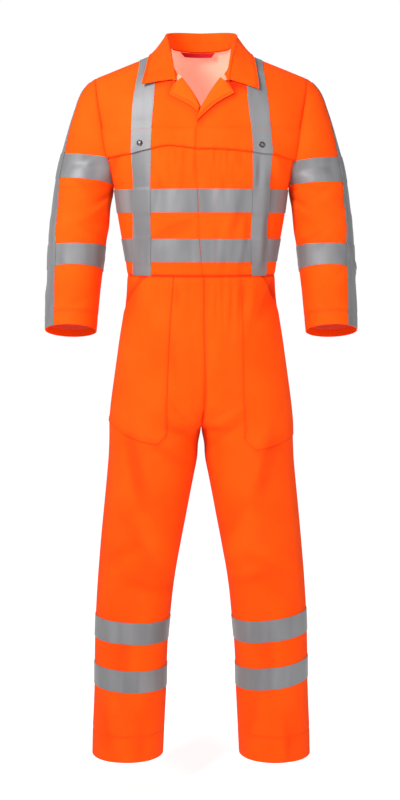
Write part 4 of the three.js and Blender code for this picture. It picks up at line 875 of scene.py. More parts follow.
def groove(sheet, kind, distance, tone=None):
    """Sinks the cloth at a seam by a bell of the distance from it, and darkens the line of it."""
    depth, width, plain_tone = GROOVES[kind]
    deep = plain_tone if tone is None else tone
    sheet.tone = np.maximum(sheet.tone, deep * np.exp(-((distance / GROOVE_LINE) ** 2)))
    return -depth * np.exp(-((distance / width) ** 2))


def shade_along(sheet, side, xs, zs, reach, tone):
    """Deepens the tone of a sheet beside a line of points on its front, fading within a reach of it."""
    x, z = sheet.points[..., 0] * SIGN[side], sheet.points[..., 2]
    near = np.full(x.shape, 999.0)
    for x0, z0, x1, z1 in zip(xs[:-1], zs[:-1], xs[1:], zs[1:]):
        share = ((x - x0) * (x1 - x0) + (z - z0) * (z1 - z0)) / ((x1 - x0) ** 2 + (z1 - z0) ** 2)
        share = np.clip(share, 0, 1)
        near = np.minimum(near, np.hypot(x - x0 - share * (x1 - x0), z - z0 - share * (z1 - z0)))
    sheet.tone = sheet.tone + tone * np.exp(-((near / reach) ** 2))


def body_sheet(rows, step, columns, face, part):
    """A sheet of the bodice or of a leg through its rows, with painted light and shade, and its folds'
    height.
    """
    points, number = refine(rows, step)
    lean = 0.2 if part == "bodice" else 0
    sheet = Sheet(points, number, columns, (0, face, lean), still=(WAIST_Z,))
    rise, small = body_rise(face, sheet.points)
    tint(sheet, small, part)
    return sheet, rise


def armhole_shade(sheet):
    """Painted shade of the armhole seam at each point of a sheet, by its height: deep under the arm."""
    return np.interp(sheet.points[..., 2], *ARMHOLE_SHADE)


# Fronts and back of the bodice.
sheets = {}
to_neck = np.arange(BACK_CELLS[0]) * 4 / BACK_CELLS[0]
half = np.concatenate([to_neck, 4 + numbering(BACK_CELLS[1] + TAIL_CELLS)])
for name in ("front_right", "front_left", "back"):
    side = name.split("_")[-1]
    if name == "back":
        rows = [back_row(r) for r in ROWS_OF_BODICE]
        sheet, rise = body_sheet(rows, GRID, np.concatenate([-half[:0:-1], half]), 1, "bodice")
    else:
        rows = [front_row(side, r) for r in ROWS_OF_BODICE]
        sheet, rise = body_sheet(rows, GRID, numbering(FRONT_CELLS[side] + TAIL_CELLS), -1, "bodice")
    rise = rise + groove(sheet, "waist", sheet.v)
    rise = rise + groove(sheet, "armhole", sheet.u[:, -1:] - sheet.u, armhole_shade(sheet))
    if name == "back":
        rise = rise + groove(sheet, "armhole", sheet.u, armhole_shade(sheet))
    else:
        deep, tip = LAPEL_SHADE[side], TIP_SHIFT[side]
        shade_along(sheet, side, LAPEL[side]["edgeX"], LAPEL[side]["edgeZ"], SHADE_REACH, deep)
        shade_along(sheet, side, (60, 129 + tip[0]), (-84, -92 + tip[1]), SHADE_REACH, deep)
    sheet.push(rise)
    sheets[name] = sheet


def sleeve_angles(z, end):
    """Angles round the arm at the table columns, forward positive, from the front to the back end."""
    front, back = float(at(STRIPE, z, "front")), float(at(STRIPE, z, "back"))
    stripe = np.linspace(front, back, 3)
    return np.concatenate([np.linspace(end, front, 7)[:-1], stripe[:-1], np.linspace(back, -end, 7)])


def head_row(side, n):
    """One row of the sleeve's head, from the armhole's front rim over the arm's outer line to the back rim.

    Round the arm it is part of an ellipse whose ends lie on the rims; its level runs from the rims to the
    outer line by a cubic. The last two columns of numbers are the angle and how free of the rim a point is.
    """
    turn, outer_z = SLEEVE_HEAD["turn"][n], SLEEVE_HEAD[side][n]
    row = TOP_ROW - n
    x = edge_x(side, row)
    rims = [bodice_points(face, side, x, row) for face in (-1, 1)]
    wide = 1 - math.cos(math.radians(turn))
    outline = float(at(SLEEVE_OUTLINE, outer_z, "x"))
    spread = (outline - x) / wide
    angle = np.interp(numbering(SLEEVE_CELLS), np.arange(15), sleeve_angles(outer_z, turn))
    ahead = angle > 0
    rim_y = np.where(ahead, abs(rims[0][1]), abs(rims[1][1]))
    depth = ARMPIT_DEPTH if turn == 180 else rim_y / math.sin(math.radians(turn))
    share = 1 - np.abs(angle) / turn
    rim_z = np.where(ahead, rims[0][2], rims[1][2])
    level = rim_z + (outer_z - rim_z) * (1 - (1 - share) ** 3)
    gap = SLEEVE_GAP + (ARMPIT_GAP - SLEEVE_GAP) * max(0, (turn - 118) / 62)
    px = outline - spread + spread * np.cos(np.radians(angle)) + gap * (1 if n == 0 else 1 - share)
    free = np.minimum(1, share * 3)
    return np.stack([SIGN[side] * px, -depth * np.sin(np.radians(angle)), level, angle, free], -1)


def tube_row(side, i):
    """One row of the sleeve below the armpit: an ellipse that leans forward, with the angle and a one."""
    read = {k: SLEEVE[k][i] for k in SLEEVE}
    angle = np.interp(numbering(SLEEVE_CELLS), np.arange(15), sleeve_angles(read["z"], 180))
    forward = read["depth"] * np.sin(np.radians(angle))
    lean = math.radians(read["lean"])
    px = (read["inner"] + read["outer"]) / 2 + (read["outer"] - read["inner"]) / 2 * np.cos(np.radians(angle))
    y = -read["shift"] - forward * math.cos(lean)
    z = read["z"] + forward * math.sin(lean)
    return np.stack([SIGN[side] * px, y, z, angle, np.ones_like(angle)], -1)


def sleeve_rise(tab, angle, z):
    """Height of a sleeve's creases, each running round the arm as it climbs."""
    rise = np.zeros(angle.shape)
    for i in range(len(tab["z"])):
        apart = (angle - tab["at"][i] + 540) % 360 - 180
        around = np.cos(np.radians(apart / 2)) ** 2
        across = (z - tab["z"][i] - tab["climb"][i] * apart * around) / tab["width"][i]
        rise += tab["height"][i] * around * np.exp(-((apart / tab["length"][i]) ** 2)) * ridge(across, True)
    return rise


# Sleeves. The head's rows end on the armhole; from there down the two ends meet in the seam under the arm.
HEAD_ROWS = len(SLEEVE_HEAD["turn"])
for side in ("right", "left"):
    rows = [head_row(side, n) for n in range(HEAD_ROWS)]
    rows += [tube_row(side, i) for i in range(len(SLEEVE["z"]))]
    points, number = refine(rows, GRID)
    angle, free = points[..., 3], points[..., 4]
    sheet = Sheet(points[..., :3], number, numbering(SLEEVE_CELLS), None)
    z = sheet.points[..., 2]
    rise = sleeve_rise(SLEEVE_FOLDS[side], angle, z)
    small = CREASE_GAIN["sleeves"] * sleeve_rise(SLEEVE_CREASES[side], angle, z)
    rise += small
    rise += 0.5 * np.sin(np.radians(3 * angle) + z / 37) * np.sin(z / 29)
    # Painted light and shade from the sleeve's creases, and painted shade on its underside towards the body.
    tint(sheet, small, "sleeves")
    under = np.clip((np.abs(angle) - 120) / 60, 0, 1)
    sheet.tone = sheet.tone + 0.5 * under
    head = (number < HEAD_ROWS - 0.5)[:, None]
    rim = np.where(head, np.minimum(sheet.u, sheet.u[:, -1:] - sheet.u), 99)
    rise = rise * np.where(head, free, 1) + groove(sheet, "sleeve_head", rim, armhole_shade(sheet))
    hem_seam = sheet.v[sheet.number == HEM_SEAM_ROW][0] - 2
    rise = rise + groove(sheet, "cuff_hem", np.abs(sheet.v - hem_seam))
    sheet.push(rise)
    seam = unit(sheet.normals[:, 0] + sheet.normals[:, -1])
    closed = (number >= HEAD_ROWS - 1)[:, None]
    for end in (0, -1):
        sheet.normals[:, end] = np.where(closed, seam, sheet.normals[:, end])
    sheets["sleeve_" + side] = sheet


def leg(z, column):
    """Size of the trouser section at a height."""
    return at(TROUSER, z, column)


def leg_angle(x, z):
    """Angle round the leg of a point at a distance from the middle: 0 at the side, pi at the inseam."""
    centre = leg(z, "centre")
    share = np.minimum(1, np.abs(x - centre) / (leg(z, "outer") - centre)) ** (leg(z, "power") / 2)
    return np.arccos(np.sign(x - centre) * share)


def leg_points(face, side, angle, z, level, dip=0.0):
    """Points round a leg at the section of height z, set at a level."""
    centre, power = leg(z, "centre"), 2 / leg(z, "power")
    c = np.cos(angle)
    x = centre + (leg(z, "outer") - centre) * np.sign(c) * np.abs(c) ** power
    y = leg(z, FACE[face]) * np.abs(np.sin(angle)) ** power
    return np.stack([SIGN[side] * x, face * (y - dip), level + 0 * x], -1)


def leg_front_angles(side, z):
    """Angles of the table columns of a leg's front, from the fly or the inseam to the side, and the dips."""
    above = z > CROTCH_Z
    pocket_x = float(at(POCKET_INNER[side], max(z, CROTCH_Z), "x"))
    pocket = float(leg_angle(pocket_x, max(z, CROTCH_Z)))
    if not above:
        pocket += (math.pi * 0.6 - pocket) * min(1, (CROTCH_Z - z) / 300)
    edge = float(at(TROUSER_FLY, z, "x"))
    start = math.pi
    if above:
        start = float(leg_angle(edge if side == "left" else -edge, z))
    lead, dips = [], [0.0, 0.0, 0.0]
    if side == "right" and z > FLY_LOW_Z:
        lead = [float(leg_angle(-edge - UNDERLAP, z)), float(leg_angle(-edge + 1, z))]
        start, dips = float(leg_angle(-edge + 8, z)), [LAP_DIP, LAP_DIP, 0.0]
    elif side == "right":
        lead = [start, start + (pocket - start) * 0.12]
        start += (pocket - start) * 0.24
    return lead + list(np.linspace(start, pocket, 4)[:-1]) + list(np.linspace(pocket, 0, 7)), dips


def leg_rows(side):
    """Each row of a leg: the height of its section, its share of the pocket's lower edge, and its tilt."""
    first, second, tilt = LEG_BANDS[side]
    rows = [(z, warp, 0.0) for z, warp in zip(LEG_ROWS["z"], LEG_ROWS["warp"])]
    rows += [(high - drop, 0.0, tilt) for high in (first, second) for drop in (0, BAND_DROP / 2, BAND_DROP)]
    return rows + [(z, 0.0, 0.0) for z in HEM_LEVELS]


def row_level(side, row, x, share):
    """Level of a leg's row by distance from the middle: its share of the pocket's edge, and its tilt."""
    z, warp, tilt = row
    low = POCKET_LOW[side]
    return z + warp * share * (np.interp(x, low["x"], low["z"]) - CROTCH_Z) + tilt * (x - leg(z, "centre"))


def leg_front(side):
    """Rows of a leg's front, each laid on the section where its level is."""
    found = []
    q = numbering(LEG_CELLS[side])
    for leg_row in leg_rows(side):
        z = leg_row[0]
        angles, dips = leg_front_angles(side, z)
        angle = np.interp(q, np.arange(len(angles)), angles)
        dip = np.interp(q, [0, 1, 2], dips)
        x = np.abs(leg_points(-1, side, angle, z, z)[:, 0])
        level = row_level(side, leg_row, x, 1.0)
        place = np.maximum(level, CROTCH_Z + 0.5) if z > CROTCH_Z else level
        place = z + 0 * level if z == CROTCH_Z else place
        found.append(leg_points(-1, side, angle, place, level, dip))
    return found


def leg_back(side):
    """Rows of a leg's back: from the side they take over the front's level, which fades by a square."""
    found = []
    q = numbering(REAR_CELLS)
    for leg_row in leg_rows(side):
        z = leg_row[0]
        start = float(leg_angle(0.0, z)) if z > CROTCH_Z else math.pi
        angle = start * q / len(REAR_CELLS)
        x = np.abs(leg_points(1, side, angle, z, z)[:, 0])
        fade = np.maximum(0, 1 - q / 4) ** 2
        plain = row_level(side, leg_row, x, 0.0)
        level = plain + (row_level(side, leg_row, leg(z, "outer"), 1.0) - plain) * fade
        place = z + (level - z) * fade if z != CROTCH_Z else z + 0 * level
        found.append(leg_points(1, side, angle, place, level))
    return found


# Legs. Painted shade deep at the crotch between them, and seams down their two sides.
for side in ("right", "left"):
    for part, face, rows, cells in (("leg_front_", -1, leg_front(side), LEG_CELLS[side]),
                                    ("leg_back_", 1, leg_back(side), REAR_CELLS)):
        sheet, rise = body_sheet(rows, GRID * 1.1, numbering(cells), face, "legs")
        x, z = np.abs(sheet.points[..., 0]), sheet.points[..., 2]
        # Painted shade on the inner side of each leg below the crotch, between the legs.
        inside = np.clip(1 - x / 26, 0, 1) * np.clip((CROTCH_Z + 60 - z) / 90, 0, 1)
        sheet.tone = sheet.tone + inside * (0.75 if face < 0 else 1.0)
        rise = rise + groove(sheet, "waist", sheet.v)
        from_start, from_end = sheet.u, sheet.u[:, -1:] - sheet.u
        at_side, at_inseam = (from_start, from_end) if face > 0 else (from_end, from_start)
        rise = rise + groove(sheet, "side_seam", at_side)
        crotch = np.clip((CROTCH_Z + 60 - z) / 60, 0, 1)
        rise = rise + groove(sheet, "inseam", at_inseam) * (crotch if face < 0 else 1)
        rise = rise + groove(sheet, "leg_hem", np.abs(z - LEG_HEM_Z))
        sheet.push(rise)
        sheets[part + side] = sheet


def colour(text):
    """A colour given in sRGB hex, turned linear."""
    values = [int(text[i:i + 2], 16) / 255 for i in (1, 3, 5)]
    return tuple(v / 12.92 if v <= 0.04045 else ((v + 0.055) / 1.055) ** 2.4 for v in values) + (1.0,)


def node(tree, kind, settings):
    """Adds a node with its settings by property, socket name or socket number; an output given is linked."""
    new = tree.nodes.new(kind)
    for key, value in settings.items():
        if isinstance(key, str) and key not in new.inputs:
            setattr(new, key, value)
        elif isinstance(value, bpy.types.NodeSocket):
            tree.links.new(value, new.inputs[key])
        else:
            new.inputs[key].default_value = value
    return new


def wave_scale(period):
    """Scale of a band pattern whose bands repeat every so many millimetres."""
    return 2 * math.pi / (20 * period * MM)


def spot_scale(size):
    """Scale of a pattern of spots that are so many millimetres across."""
    return 1 / (size * MM)


def start_material(name, settings):
    """A material with the sockets of its shader set, its nodes and the shader."""
    item = bpy.data.materials.new(name)
    item.use_nodes = True
    shader = item.node_tree.nodes["Principled BSDF"]
    for key, value in settings.items():
        shader.inputs[key].default_value = value
    return item, item.node_tree, shader


def layered(tree, base, *layers):
    """A colour under layers of others, each as strong as its value between two limits, up to a most."""
    for value, low, high, most, over in layers:
        share = node(tree, "ShaderNodeMapRange", {"Value": value, "From Min": low, "From Max": high,
                                                  "To Max": most})
        mixed = {"data_type": "RGBA", 0: share.outputs[0], 6: base, 7: colour(over)}
        base = node(tree, "ShaderNodeMix", mixed).outputs[2]
    return base


def finish(tree, shader, base, height, strength, depth):
    """Gives a shader its colour and its relief, whose depth is in millimetres."""
    relief = node(tree, "ShaderNodeBump", {"Strength": strength, "Distance": depth * MM, "Height": height})
    tree.links.new(base, shader.inputs["Base Color"])
    tree.links.new(relief.outputs[0], shader.inputs["Normal"])


def cloth(name, light, dark, seam, painted_highlight, twill=0.9, roughness=0.85, painted_glow=0.0):
    """Woven twill: slanting ribs over fine yarn, patches of tone, seams and painted shade deeper, painted
    highlights paler.

    The ribs are as far apart as in such a cloth and show only close up, so the mottle, ten times as coarse,
    gives the weave its life at a distance. The painted glow makes the cloth give off light of its own.
    """
    item, tree, shader = start_material(name, {
        "Roughness": roughness, "Specular IOR Level": 0.1,
        "Sheen Weight": 0.05, "Sheen Roughness": 0.45, "Sheen Tint": colour("#ff8a50"),
        "Emission Strength": painted_glow, "Emission Color": colour(light)})
    uv = node(tree, "ShaderNodeUVMap", {"uv_map": "cloth"}).outputs["UV"]
    patch, mottle, yarn = (node(tree, "ShaderNodeTexNoise", {
        "Scale": spot_scale(size), "Detail": detail, "Roughness": rough, "Vector": uv}).outputs["Fac"]
        for size, detail, rough in ((111.111, 3.0, 0.5), (8.3333, 2.0, 0.5), (0.7143, 2.0, 0.6)))
    ribs, weft = (node(tree, "ShaderNodeTexWave", {
        "bands_direction": way, "Scale": scale, "Distortion": bend, "Vector": uv}).outputs["Fac"]
        for way, scale, bend in (("DIAGONAL", wave_scale(twill) * math.sqrt(2), 0.6),
                                 ("Y", wave_scale(twill * 0.6), 0.0)))
    tone = node(tree, "ShaderNodeAttribute", {"attribute_name": "tone"}).outputs["Fac"]
    # Tone above nought deepens the colour to the seam colour, for seams and painted shade; tone below nought
    # pales it to the painted highlight.
    base = layered(
        tree, colour(dark), (patch, 0.3, 0.7, 1.0, light), (mottle, 0.35, 0.75, 0.22, dark),
        (ribs, 0.0, 1.0, 0.12, seam), (tone, 0.0, 1.0, 0.85, seam), (tone, 0.0, -0.6, 0.8, painted_highlight))
    weave = node(tree, "ShaderNodeMath", {"operation": "ADD", 0: ribs, 1: weft}).outputs[0]
    height = node(tree, "ShaderNodeMath", {"operation": "ADD", 0: weave, 1: yarn}).outputs[0]
    finish(tree, shader, base, height, 0.35, 0.18)
    return item


def reflecting_tape(name, light, dark):
    """Reflecting tape: tiny glass beads glued on woven backing, greyer and paler in soft streaks of painted
    sheen.

    The real beads are finer than 0.1 mm. Here they are 0.43 mm across, so that their grain shows close up.
    The streaks are 38 mm wide and 312 mm high: painted reflections of the light on the folds of the cloth
    beneath.
    """
    item, tree, shader = start_material(name, {
        "Metallic": 0.1, "Specular IOR Level": 0.4, "Sheen Weight": 0.08, "Coat Weight": 0.05,
        "Coat Roughness": 0.4})
    uv = node(tree, "ShaderNodeUVMap", {"uv_map": "cloth"}).outputs["UV"]
    place = node(tree, "ShaderNodeTexCoord", {}).outputs["Object"]
    drawn = (spot_scale(38.4615), spot_scale(38.4615), spot_scale(312.5))
    wide = node(tree, "ShaderNodeMapping", {"Scale": drawn, "Vector": place}).outputs[0]
    painted_sheen = node(tree, "ShaderNodeTexNoise", {
        "Scale": 1.0, "Detail": 2.0, "Roughness": 0.45, "Vector": wide}).outputs["Fac"]
    beads = node(tree, "ShaderNodeTexVoronoi", {
        "Scale": spot_scale(0.43478), "Vector": uv}).outputs["Distance"]
    weave = node(tree, "ShaderNodeTexWave", {"Scale": wave_scale(0.8), "Vector": uv}).outputs["Fac"]
    # Grey paled in streaks of painted sheen, and flecked by the beads.
    base = layered(tree, colour(dark), (painted_sheen, 0.36, 0.66, 1.0, light), (beads, 0.0, 1.0, 0.16, "#58585a"))
    rough = node(tree, "ShaderNodeMapRange", {"To Min": 0.44, "To Max": 0.58, "Value": painted_sheen})
    tree.links.new(rough.outputs[0], shader.inputs["Roughness"])
    height = node(tree, "ShaderNodeMath", {"operation": "ADD", 0: beads, 1: weave}).outputs[0]
    finish(tree, shader, base, height, 0.3, 0.12)
    return item


def grained(name, tint, over, size, detail, strength, settings):
    """Thread and metal: a grain that darkens the colour where it is strong and raises the surface."""
    item, tree, shader = start_material(name, settings)
    place = node(tree, "ShaderNodeTexCoord", {}).outputs["Object"]
    grain = node(tree, "ShaderNodeTexNoise", {
        "Scale": spot_scale(size), "Detail": detail, "Vector": place}).outputs["Fac"]
    base = node(tree, "ShaderNodeMix", {
        "data_type": "RGBA", "blend_type": "MULTIPLY", 0: grain, 6: colour(tint), 7: colour(over)}).outputs[2]
    finish(tree, shader, base, grain, strength, 0.1)
    return item


# Polyester-cotton twill, woven and dyed a fluorescent orange: dull, even and fierce, redder in its seams and
# in painted shade, paler in painted highlights.
ORANGE = cloth("orange_polycotton_twill", "#ff5406", "#ff4a00", "#c01400", "#ff7a2e")
# The same twill folded outwards on the lapels, a little yellower in the light from above.
FACING = cloth("orange_twill_facing", "#ff5c0c", "#ff5204", "#c81c00", "#ff7c30")
# Its wrong side, where the cotton yarns take little dye: pale, warm and soft, with a strong painted glow.
WRONG = cloth("orange_twill_wrong_side", "#e89c88", "#e2907c", "#cc5e4e", "#f2ae9e", painted_glow=0.7)
# Woven facing strip inside the neck opening: a matt peach.
PEACH = cloth("peach_inner_facing", "#e69c80", "#e09476", "#d07858", "#eaa890")
# Wrong side inside the sleeves, reddened by light thrown back and forth between the layers.
INSIDE = cloth("orange_twill_inside_sleeve", "#ff6650", "#fa5844", "#c03020", "#ff7a64")
# Right side turned in at the hems: orange, darker as painted shade of the opening, with a faint painted glow.
HEM = cloth("orange_twill_turned_hem", "#f84400", "#ee3800", "#b01000", "#ff5c14", painted_glow=0.15)
# Damask label, woven of fine red yarn: close and slightly smooth.
RED = cloth("woven_red_label", "#b80c20", "#a00818", "#780010", "#c82030", twill=0.6, roughness=0.6)
# Glass-bead reflecting tape on woven backing: a flat mid grey with painted silvery sheen in streaks here and
# there.
GREY = reflecting_tape("grey_reflecting_tape", "#7b7b7d", "#6a6a6c")
# Spun polyester thread, twisted from plies 1.4 mm long: dull, with a broken shine.
THREAD_FINISH = {"Roughness": 0.7, "Sheen Weight": 0.05, "Specular IOR Level": 0.2}
ORANGE_THREAD = grained("orange_polyester_thread", "#ee4c18", "#e2deda", 1.42857, 2.0, 0.4, THREAD_FINISH)
GREY_THREAD = grained("pale_polyester_thread", "#a49c9a", "#e2deda", 1.42857, 2.0, 0.4, THREAD_FINISH)
# Pressed and blackened brass: a dark, satin ring.
DARK = grained("blackened_stud_ring", "#4a4144", "#f4f2f0", 1.1111, 3.0, 0.2,
               {"Roughness": 0.35, "Metallic": 1.0})
# Pressed and nickel-plated brass: a duller, greyer cap.
BRIGHT = grained("nickel_stud_cap", "#6e6b69", "#f4f2f0", 1.1111, 3.0, 0.2,
                 {"Roughness": 0.45, "Metallic": 1.0})


def piece(name, sheet, high, low, slots, finish_slot, solid=None, inner_slots=None):
    """A closed sheet of cloth with its cut, hiding the solid that it stands for; its finish is not used."""
    obj = wall(name, sheet, high, low, slots, inner_slots)
    if solid:
        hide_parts(solid)


def tape(name, sheet, lift, solid):
    """A strip of reflecting tape, lying a distance off the cloth."""
    piece(name, sheet, lift + TAPE, lift, [GREY], "reflecting_tape", solid)


# Lines of stitches by thread, as points and normals, and the steps to a neighbouring row or column.
seams = {"orange": [], "pale": []}
UP_ROW, DOWN_ROW, UP_COL, DOWN_COL = (1, 0), (-1, 0), (0, 1), (0, -1)


def stitch(kind, sheet, rows, cols, lift=ON_CLOTH, inset=0.0, toward=UP_ROW):
    """Marks a line of stitches along table rows and columns, set in towards the next row or column."""
    rows, cols = np.broadcast_arrays(sheet.row(np.asarray(rows, float)), sheet.col(np.asarray(cols, float)))
    p, n = sheet.pick(rows, cols)[:2]
    n = unit(n)
    beside = sheet.pick(rows + toward[0] * 0.5, cols + toward[1] * 0.5)[0]
    seams[kind].append((p + n * np.reshape(lift, (-1, 1)) + unit(beside - p) * inset, n))


def stitch_band(sheet, first, last, *runs):
    """Stitches along a band's two edges, its rows first and last, over one or more runs of columns."""
    for row, toward in ((first, UP_ROW), (last, DOWN_ROW)):
        for cols in runs:
            stitch("pale", sheet, row, cols, LAY + TAPE + TAPE_STITCH, TAPE_INSET, toward)


def stitch_strip(sheet, rows, first, last, lift):
    """Stitches down a strip of tape's two edges, its columns first and last."""
    for col, toward in ((first, UP_COL), (last, DOWN_COL)):
        stitch("pale", sheet, rows, col, lift + TAPE + TAPE_STITCH, TAPE_INSET, toward)


def on_line(s, line, places):
    """Vectors of a line at some distances along it, where s is the distance of each of its points."""
    return np.stack([np.interp(places, s, line[:, k]) for k in range(3)], -1)


def sew(name, kind, material):
    """One object for all stitches of a thread: each an eight-sided bead drawn out along its line."""
    found = []
    for p, n in seams[kind]:
        s = np.concatenate([[0], np.cumsum(np.linalg.norm(np.diff(p, axis=0), axis=1))])
        mids = np.arange(STITCH["pitch"] / 2, s[-1], STITCH["pitch"])
        ahead = unit(on_line(s, p, mids + 1) - on_line(s, p, mids - 1))
        found.append((on_line(s, p, mids), ahead, unit(on_line(s, n, mids))))
    centre, ahead, up = (np.concatenate(x) for x in zip(*found))
    along, above = ahead * STITCH["length"] / 2, up * STITCH["height"]
    across = np.cross(up, ahead) * STITCH["width"] / 2
    corners = [centre + along, centre - along, centre + across, centre + above, centre - across,
               centre - above * 0.5]
    verts = np.stack(corners, 1).reshape(-1, 3)
    faces = [(0, 2 + k, 2 + (k + 1) % 4) for k in range(4)] + [(1, 2 + (k + 1) % 4, 2 + k) for k in range(4)]
    base = np.arange(len(centre))[:, None, None] * len(corners)
    tris = (base + np.array(faces)[None]).reshape(-1, 3)[:, ::-1]
    obj = make(name, verts, tris, None, [material], np.zeros(len(tris), int))


def joined(first, second, axis):
    """Two parts of one sheet as one grid, the second laid after the first along an axis."""
    both = Sheet.__new__(Sheet)
    step = (slice(1, None), slice(None)) if axis == 0 else (slice(None), slice(1, None))
    for key in ("points", "normals", "tone"):
        setattr(both, key, np.concatenate([getattr(first, key), getattr(second, key)[step]], axis))
    if axis == 0:
        both.normals[len(first.points) - 1] = unit(first.normals[-1] + second.normals[0])
    else:
        both.normals[:, first.points.shape[1] - 1] = unit(first.normals[:, -1] + second.normals[:, 0])
    both.closed, both.flip = False, first.flip
    both.number, both.columns = (np.arange(n) for n in both.points.shape[:2])
    both.measure()
    return both


def turned_over(sheet):
    """The same part with its rows in the opposite order."""
    for key in ("points", "normals", "u", "v", "tone"):
        setattr(sheet, key, getattr(sheet, key)[::-1])
    sheet.flip = not sheet.flip
    return sheet


def band_lift(rows, bands=BAND_ROWS, reach=0.1):
    """Distance of a tape from the cloth: raised where it crosses a band."""
    lift = np.full(np.shape(rows), LAY)
    for low, high in bands:
        ramp = [low - reach * 2, low - reach, high + reach, high + reach * 2]
        lift = np.maximum(lift, np.interp(rows, ramp, [LAY, OVER, OVER, LAY]))
    return lift


def flap_lift(rows):
    """Distance of the chest flap from the cloth: its lower edge stands off, its upper one is sewn down."""
    return np.interp(rows, *FLAP_LIFT)


def inner_side(sheet, first=True):
    """Slots of a sheet's inner faces: the right side's cloth beside a sewn edge, else the wrong side."""
    u = sheet.u[:-1, :-1]
    edge = (sheet.u[:-1, -1:] - u < SEAM_ALLOWANCE) | (first & (u < SEAM_ALLOWANCE))
    return np.where(edge, 0, 1)


def mix(a, b, t):
    """The way from a to b, at the share t of it."""
    return a * (1 - t) + b * t


# Fronts, with their flaps, brace tapes, bands and seams.
for side in ("right", "left"):
    sheet, back = sheets["front_" + side], sheets["back"]
    lap, inner, last = LAP_COL[side], BRACE_COL[side], sheet.columns[-1]
    outer = inner + 2
    width = sheet.reach(lap, last)
    piece("front_cloth_" + side, sheet, 0, -CLOTH, [ORANGE, WRONG], "orange_cloth", "bodice_front_" + side,
          inner_side(sheet, first=False))
    rows = sheet.span(*FLAP_ROWS)
    flap = sheet.part(rows, width)
    lift = flap_lift(rows)[:, None]
    # Painted shade along the flap's lower edge, where it stands off the cloth.
    painted_flap_shadow = np.exp(-((rows - FLAP_ROWS[0]) / 0.1) ** 2)[:, None]
    flap.tone = np.broadcast_to(painted_flap_shadow * 0.5, flap.tone.shape)
    piece("chest_flap_cloth_" + side, flap, lift + POCKET_CLOTH, lift, [ORANGE, WRONG], "orange_cloth",
          "chest_flap_" + side)
    rows = sheet.span(0, 11)
    low = sheet.part(rows, sheet.reach(inner, outer))
    tape("brace_tape_lower_" + side, low, band_lift(rows)[:, None], "brace_tape_low_" + side)
    front_rows, back_rows = sheet.span(FLAP_ROWS[0], TOP_ROW), back.span(0, TOP_ROW)
    over_flap = flap_lift(front_rows) + POCKET_CLOTH + LAY
    past_flap = np.interp(front_rows, [12, 12.6], [LAY * 2 + POCKET_CLOTH, LAY])
    over = np.where(front_rows <= FLAP_ROWS[1] + 0.001, over_flap, past_flap)
    behind = back.part(back_rows, (BACK_BRACE_COL + np.linspace(0, 2, 11)) * SIGN[side])
    ahead = sheet.part(front_rows, inner + np.linspace(0, 2, 11))
    strip = joined(ahead, turned_over(behind), 0)
    lift = np.concatenate([over, band_lift(back_rows)[::-1][1:]])
    tape("brace_tape_upper_" + side, strip, lift[:, None], "brace_tape_high_" + side)
    for n, band_rows in enumerate(BAND_ROWS):
        band = sheet.part(sheet.span(*band_rows), width)
        tape(f"torso_tape{n + 1}_front_{side}", band, LAY, f"torso_band{n + 1}_front_{side}")
        stitch_band(sheet, *band_rows, sheet.reach(lap, inner), sheet.reach(outer, last))
    rows = np.linspace(0, BRACE_TOP_ROW, 60)
    stitch_strip(sheet, rows, inner, outer, band_lift(rows))
    stitch_strip(strip, strip.number, 0, 10, lift)
    cols = np.linspace(lap, last, 60)
    on_tape = (cols > inner) & (cols < outer)
    flap_seam = LAY + POCKET_CLOTH + ON_CLOTH + on_tape * (LAY + TAPE)
    low_inset, top_inset = FLAP_INSETS
    stitch("orange", sheet, np.full(60, float(FLAP_ROWS[1])), cols, flap_seam, top_inset, DOWN_ROW)
    stitch("orange", sheet, FLAP_ROWS[0], width, FLAP_LIFT[1][0] + POCKET_CLOTH + 0.15, low_inset)
    stitch("orange", sheet, 0, width, ON_CLOTH, SEAM_INSET)
    stitch("orange", sheet, np.linspace(0, TOP_ROW, 120), last, ON_CLOTH, SEAM_INSET, DOWN_COL)


def over_rows(rows, low, high):
    """One between two rows and nought outside them, with a short ramp at each."""
    return np.interp(rows, [low - 0.05, low, high, high + 0.05], [0, 1, 1, 0])


# Fly: a line of stitches down the left front, and its edge stitched in the colour of what it crosses.
left = sheets["front_left"]
rows = np.linspace(0, FLY_TOP_ROW, 90)
height = np.interp(rows, np.arange(TOP_ROW + 1), [row_height(r) for r in ROWS_OF_BODICE])
edge = at(FRONT_EDGE["left"], height, "x")
inner = at(BRACE["left"], height, "inner")
on_flap = over_rows(rows, *FLAP_ROWS)
on_band = np.maximum(*(over_rows(rows, *band_rows) for band_rows in BAND_ROWS))
height_of = on_flap * (flap_lift(rows) + POCKET_CLOTH) + on_band * (LAY + TAPE) + ON_CLOTH
stitch("orange", left, rows, BRACE_COL["left"] * (FLY_STITCH_X - edge) / (inner - edge), height_of)
for part, kind in ((on_band < 0.5, "orange"), (on_band >= 0.5, "pale")):
    for run in np.split(np.arange(len(rows)), np.flatnonzero(np.diff(part.astype(int))) + 1):
        if part[run[0]] and len(run) > 1:
            stitch(kind, left, rows[run], 0.0, height_of[run], FLY_INSET, UP_COL)

back = sheets["back"]
piece("back_cloth", back, 0, -CLOTH, [ORANGE, WRONG], "orange_cloth", "bodice_back", inner_side(back))
for n, band_rows in enumerate(BAND_ROWS):
    band = back.part(back.span(*band_rows), back.columns)
    tape(f"torso_tape{n + 1}_back", band, LAY, f"torso_band{n + 1}_back")
    stitch_band(back, *band_rows, back.columns)
stitch("orange", back, 0, back.columns, ON_CLOTH, SEAM_INSET)
for end, toward in ((back.columns[0], UP_COL), (back.columns[-1], DOWN_COL)):
    stitch("orange", back, np.linspace(0, TOP_ROW, 120), end, ON_CLOTH, SEAM_INSET, toward)

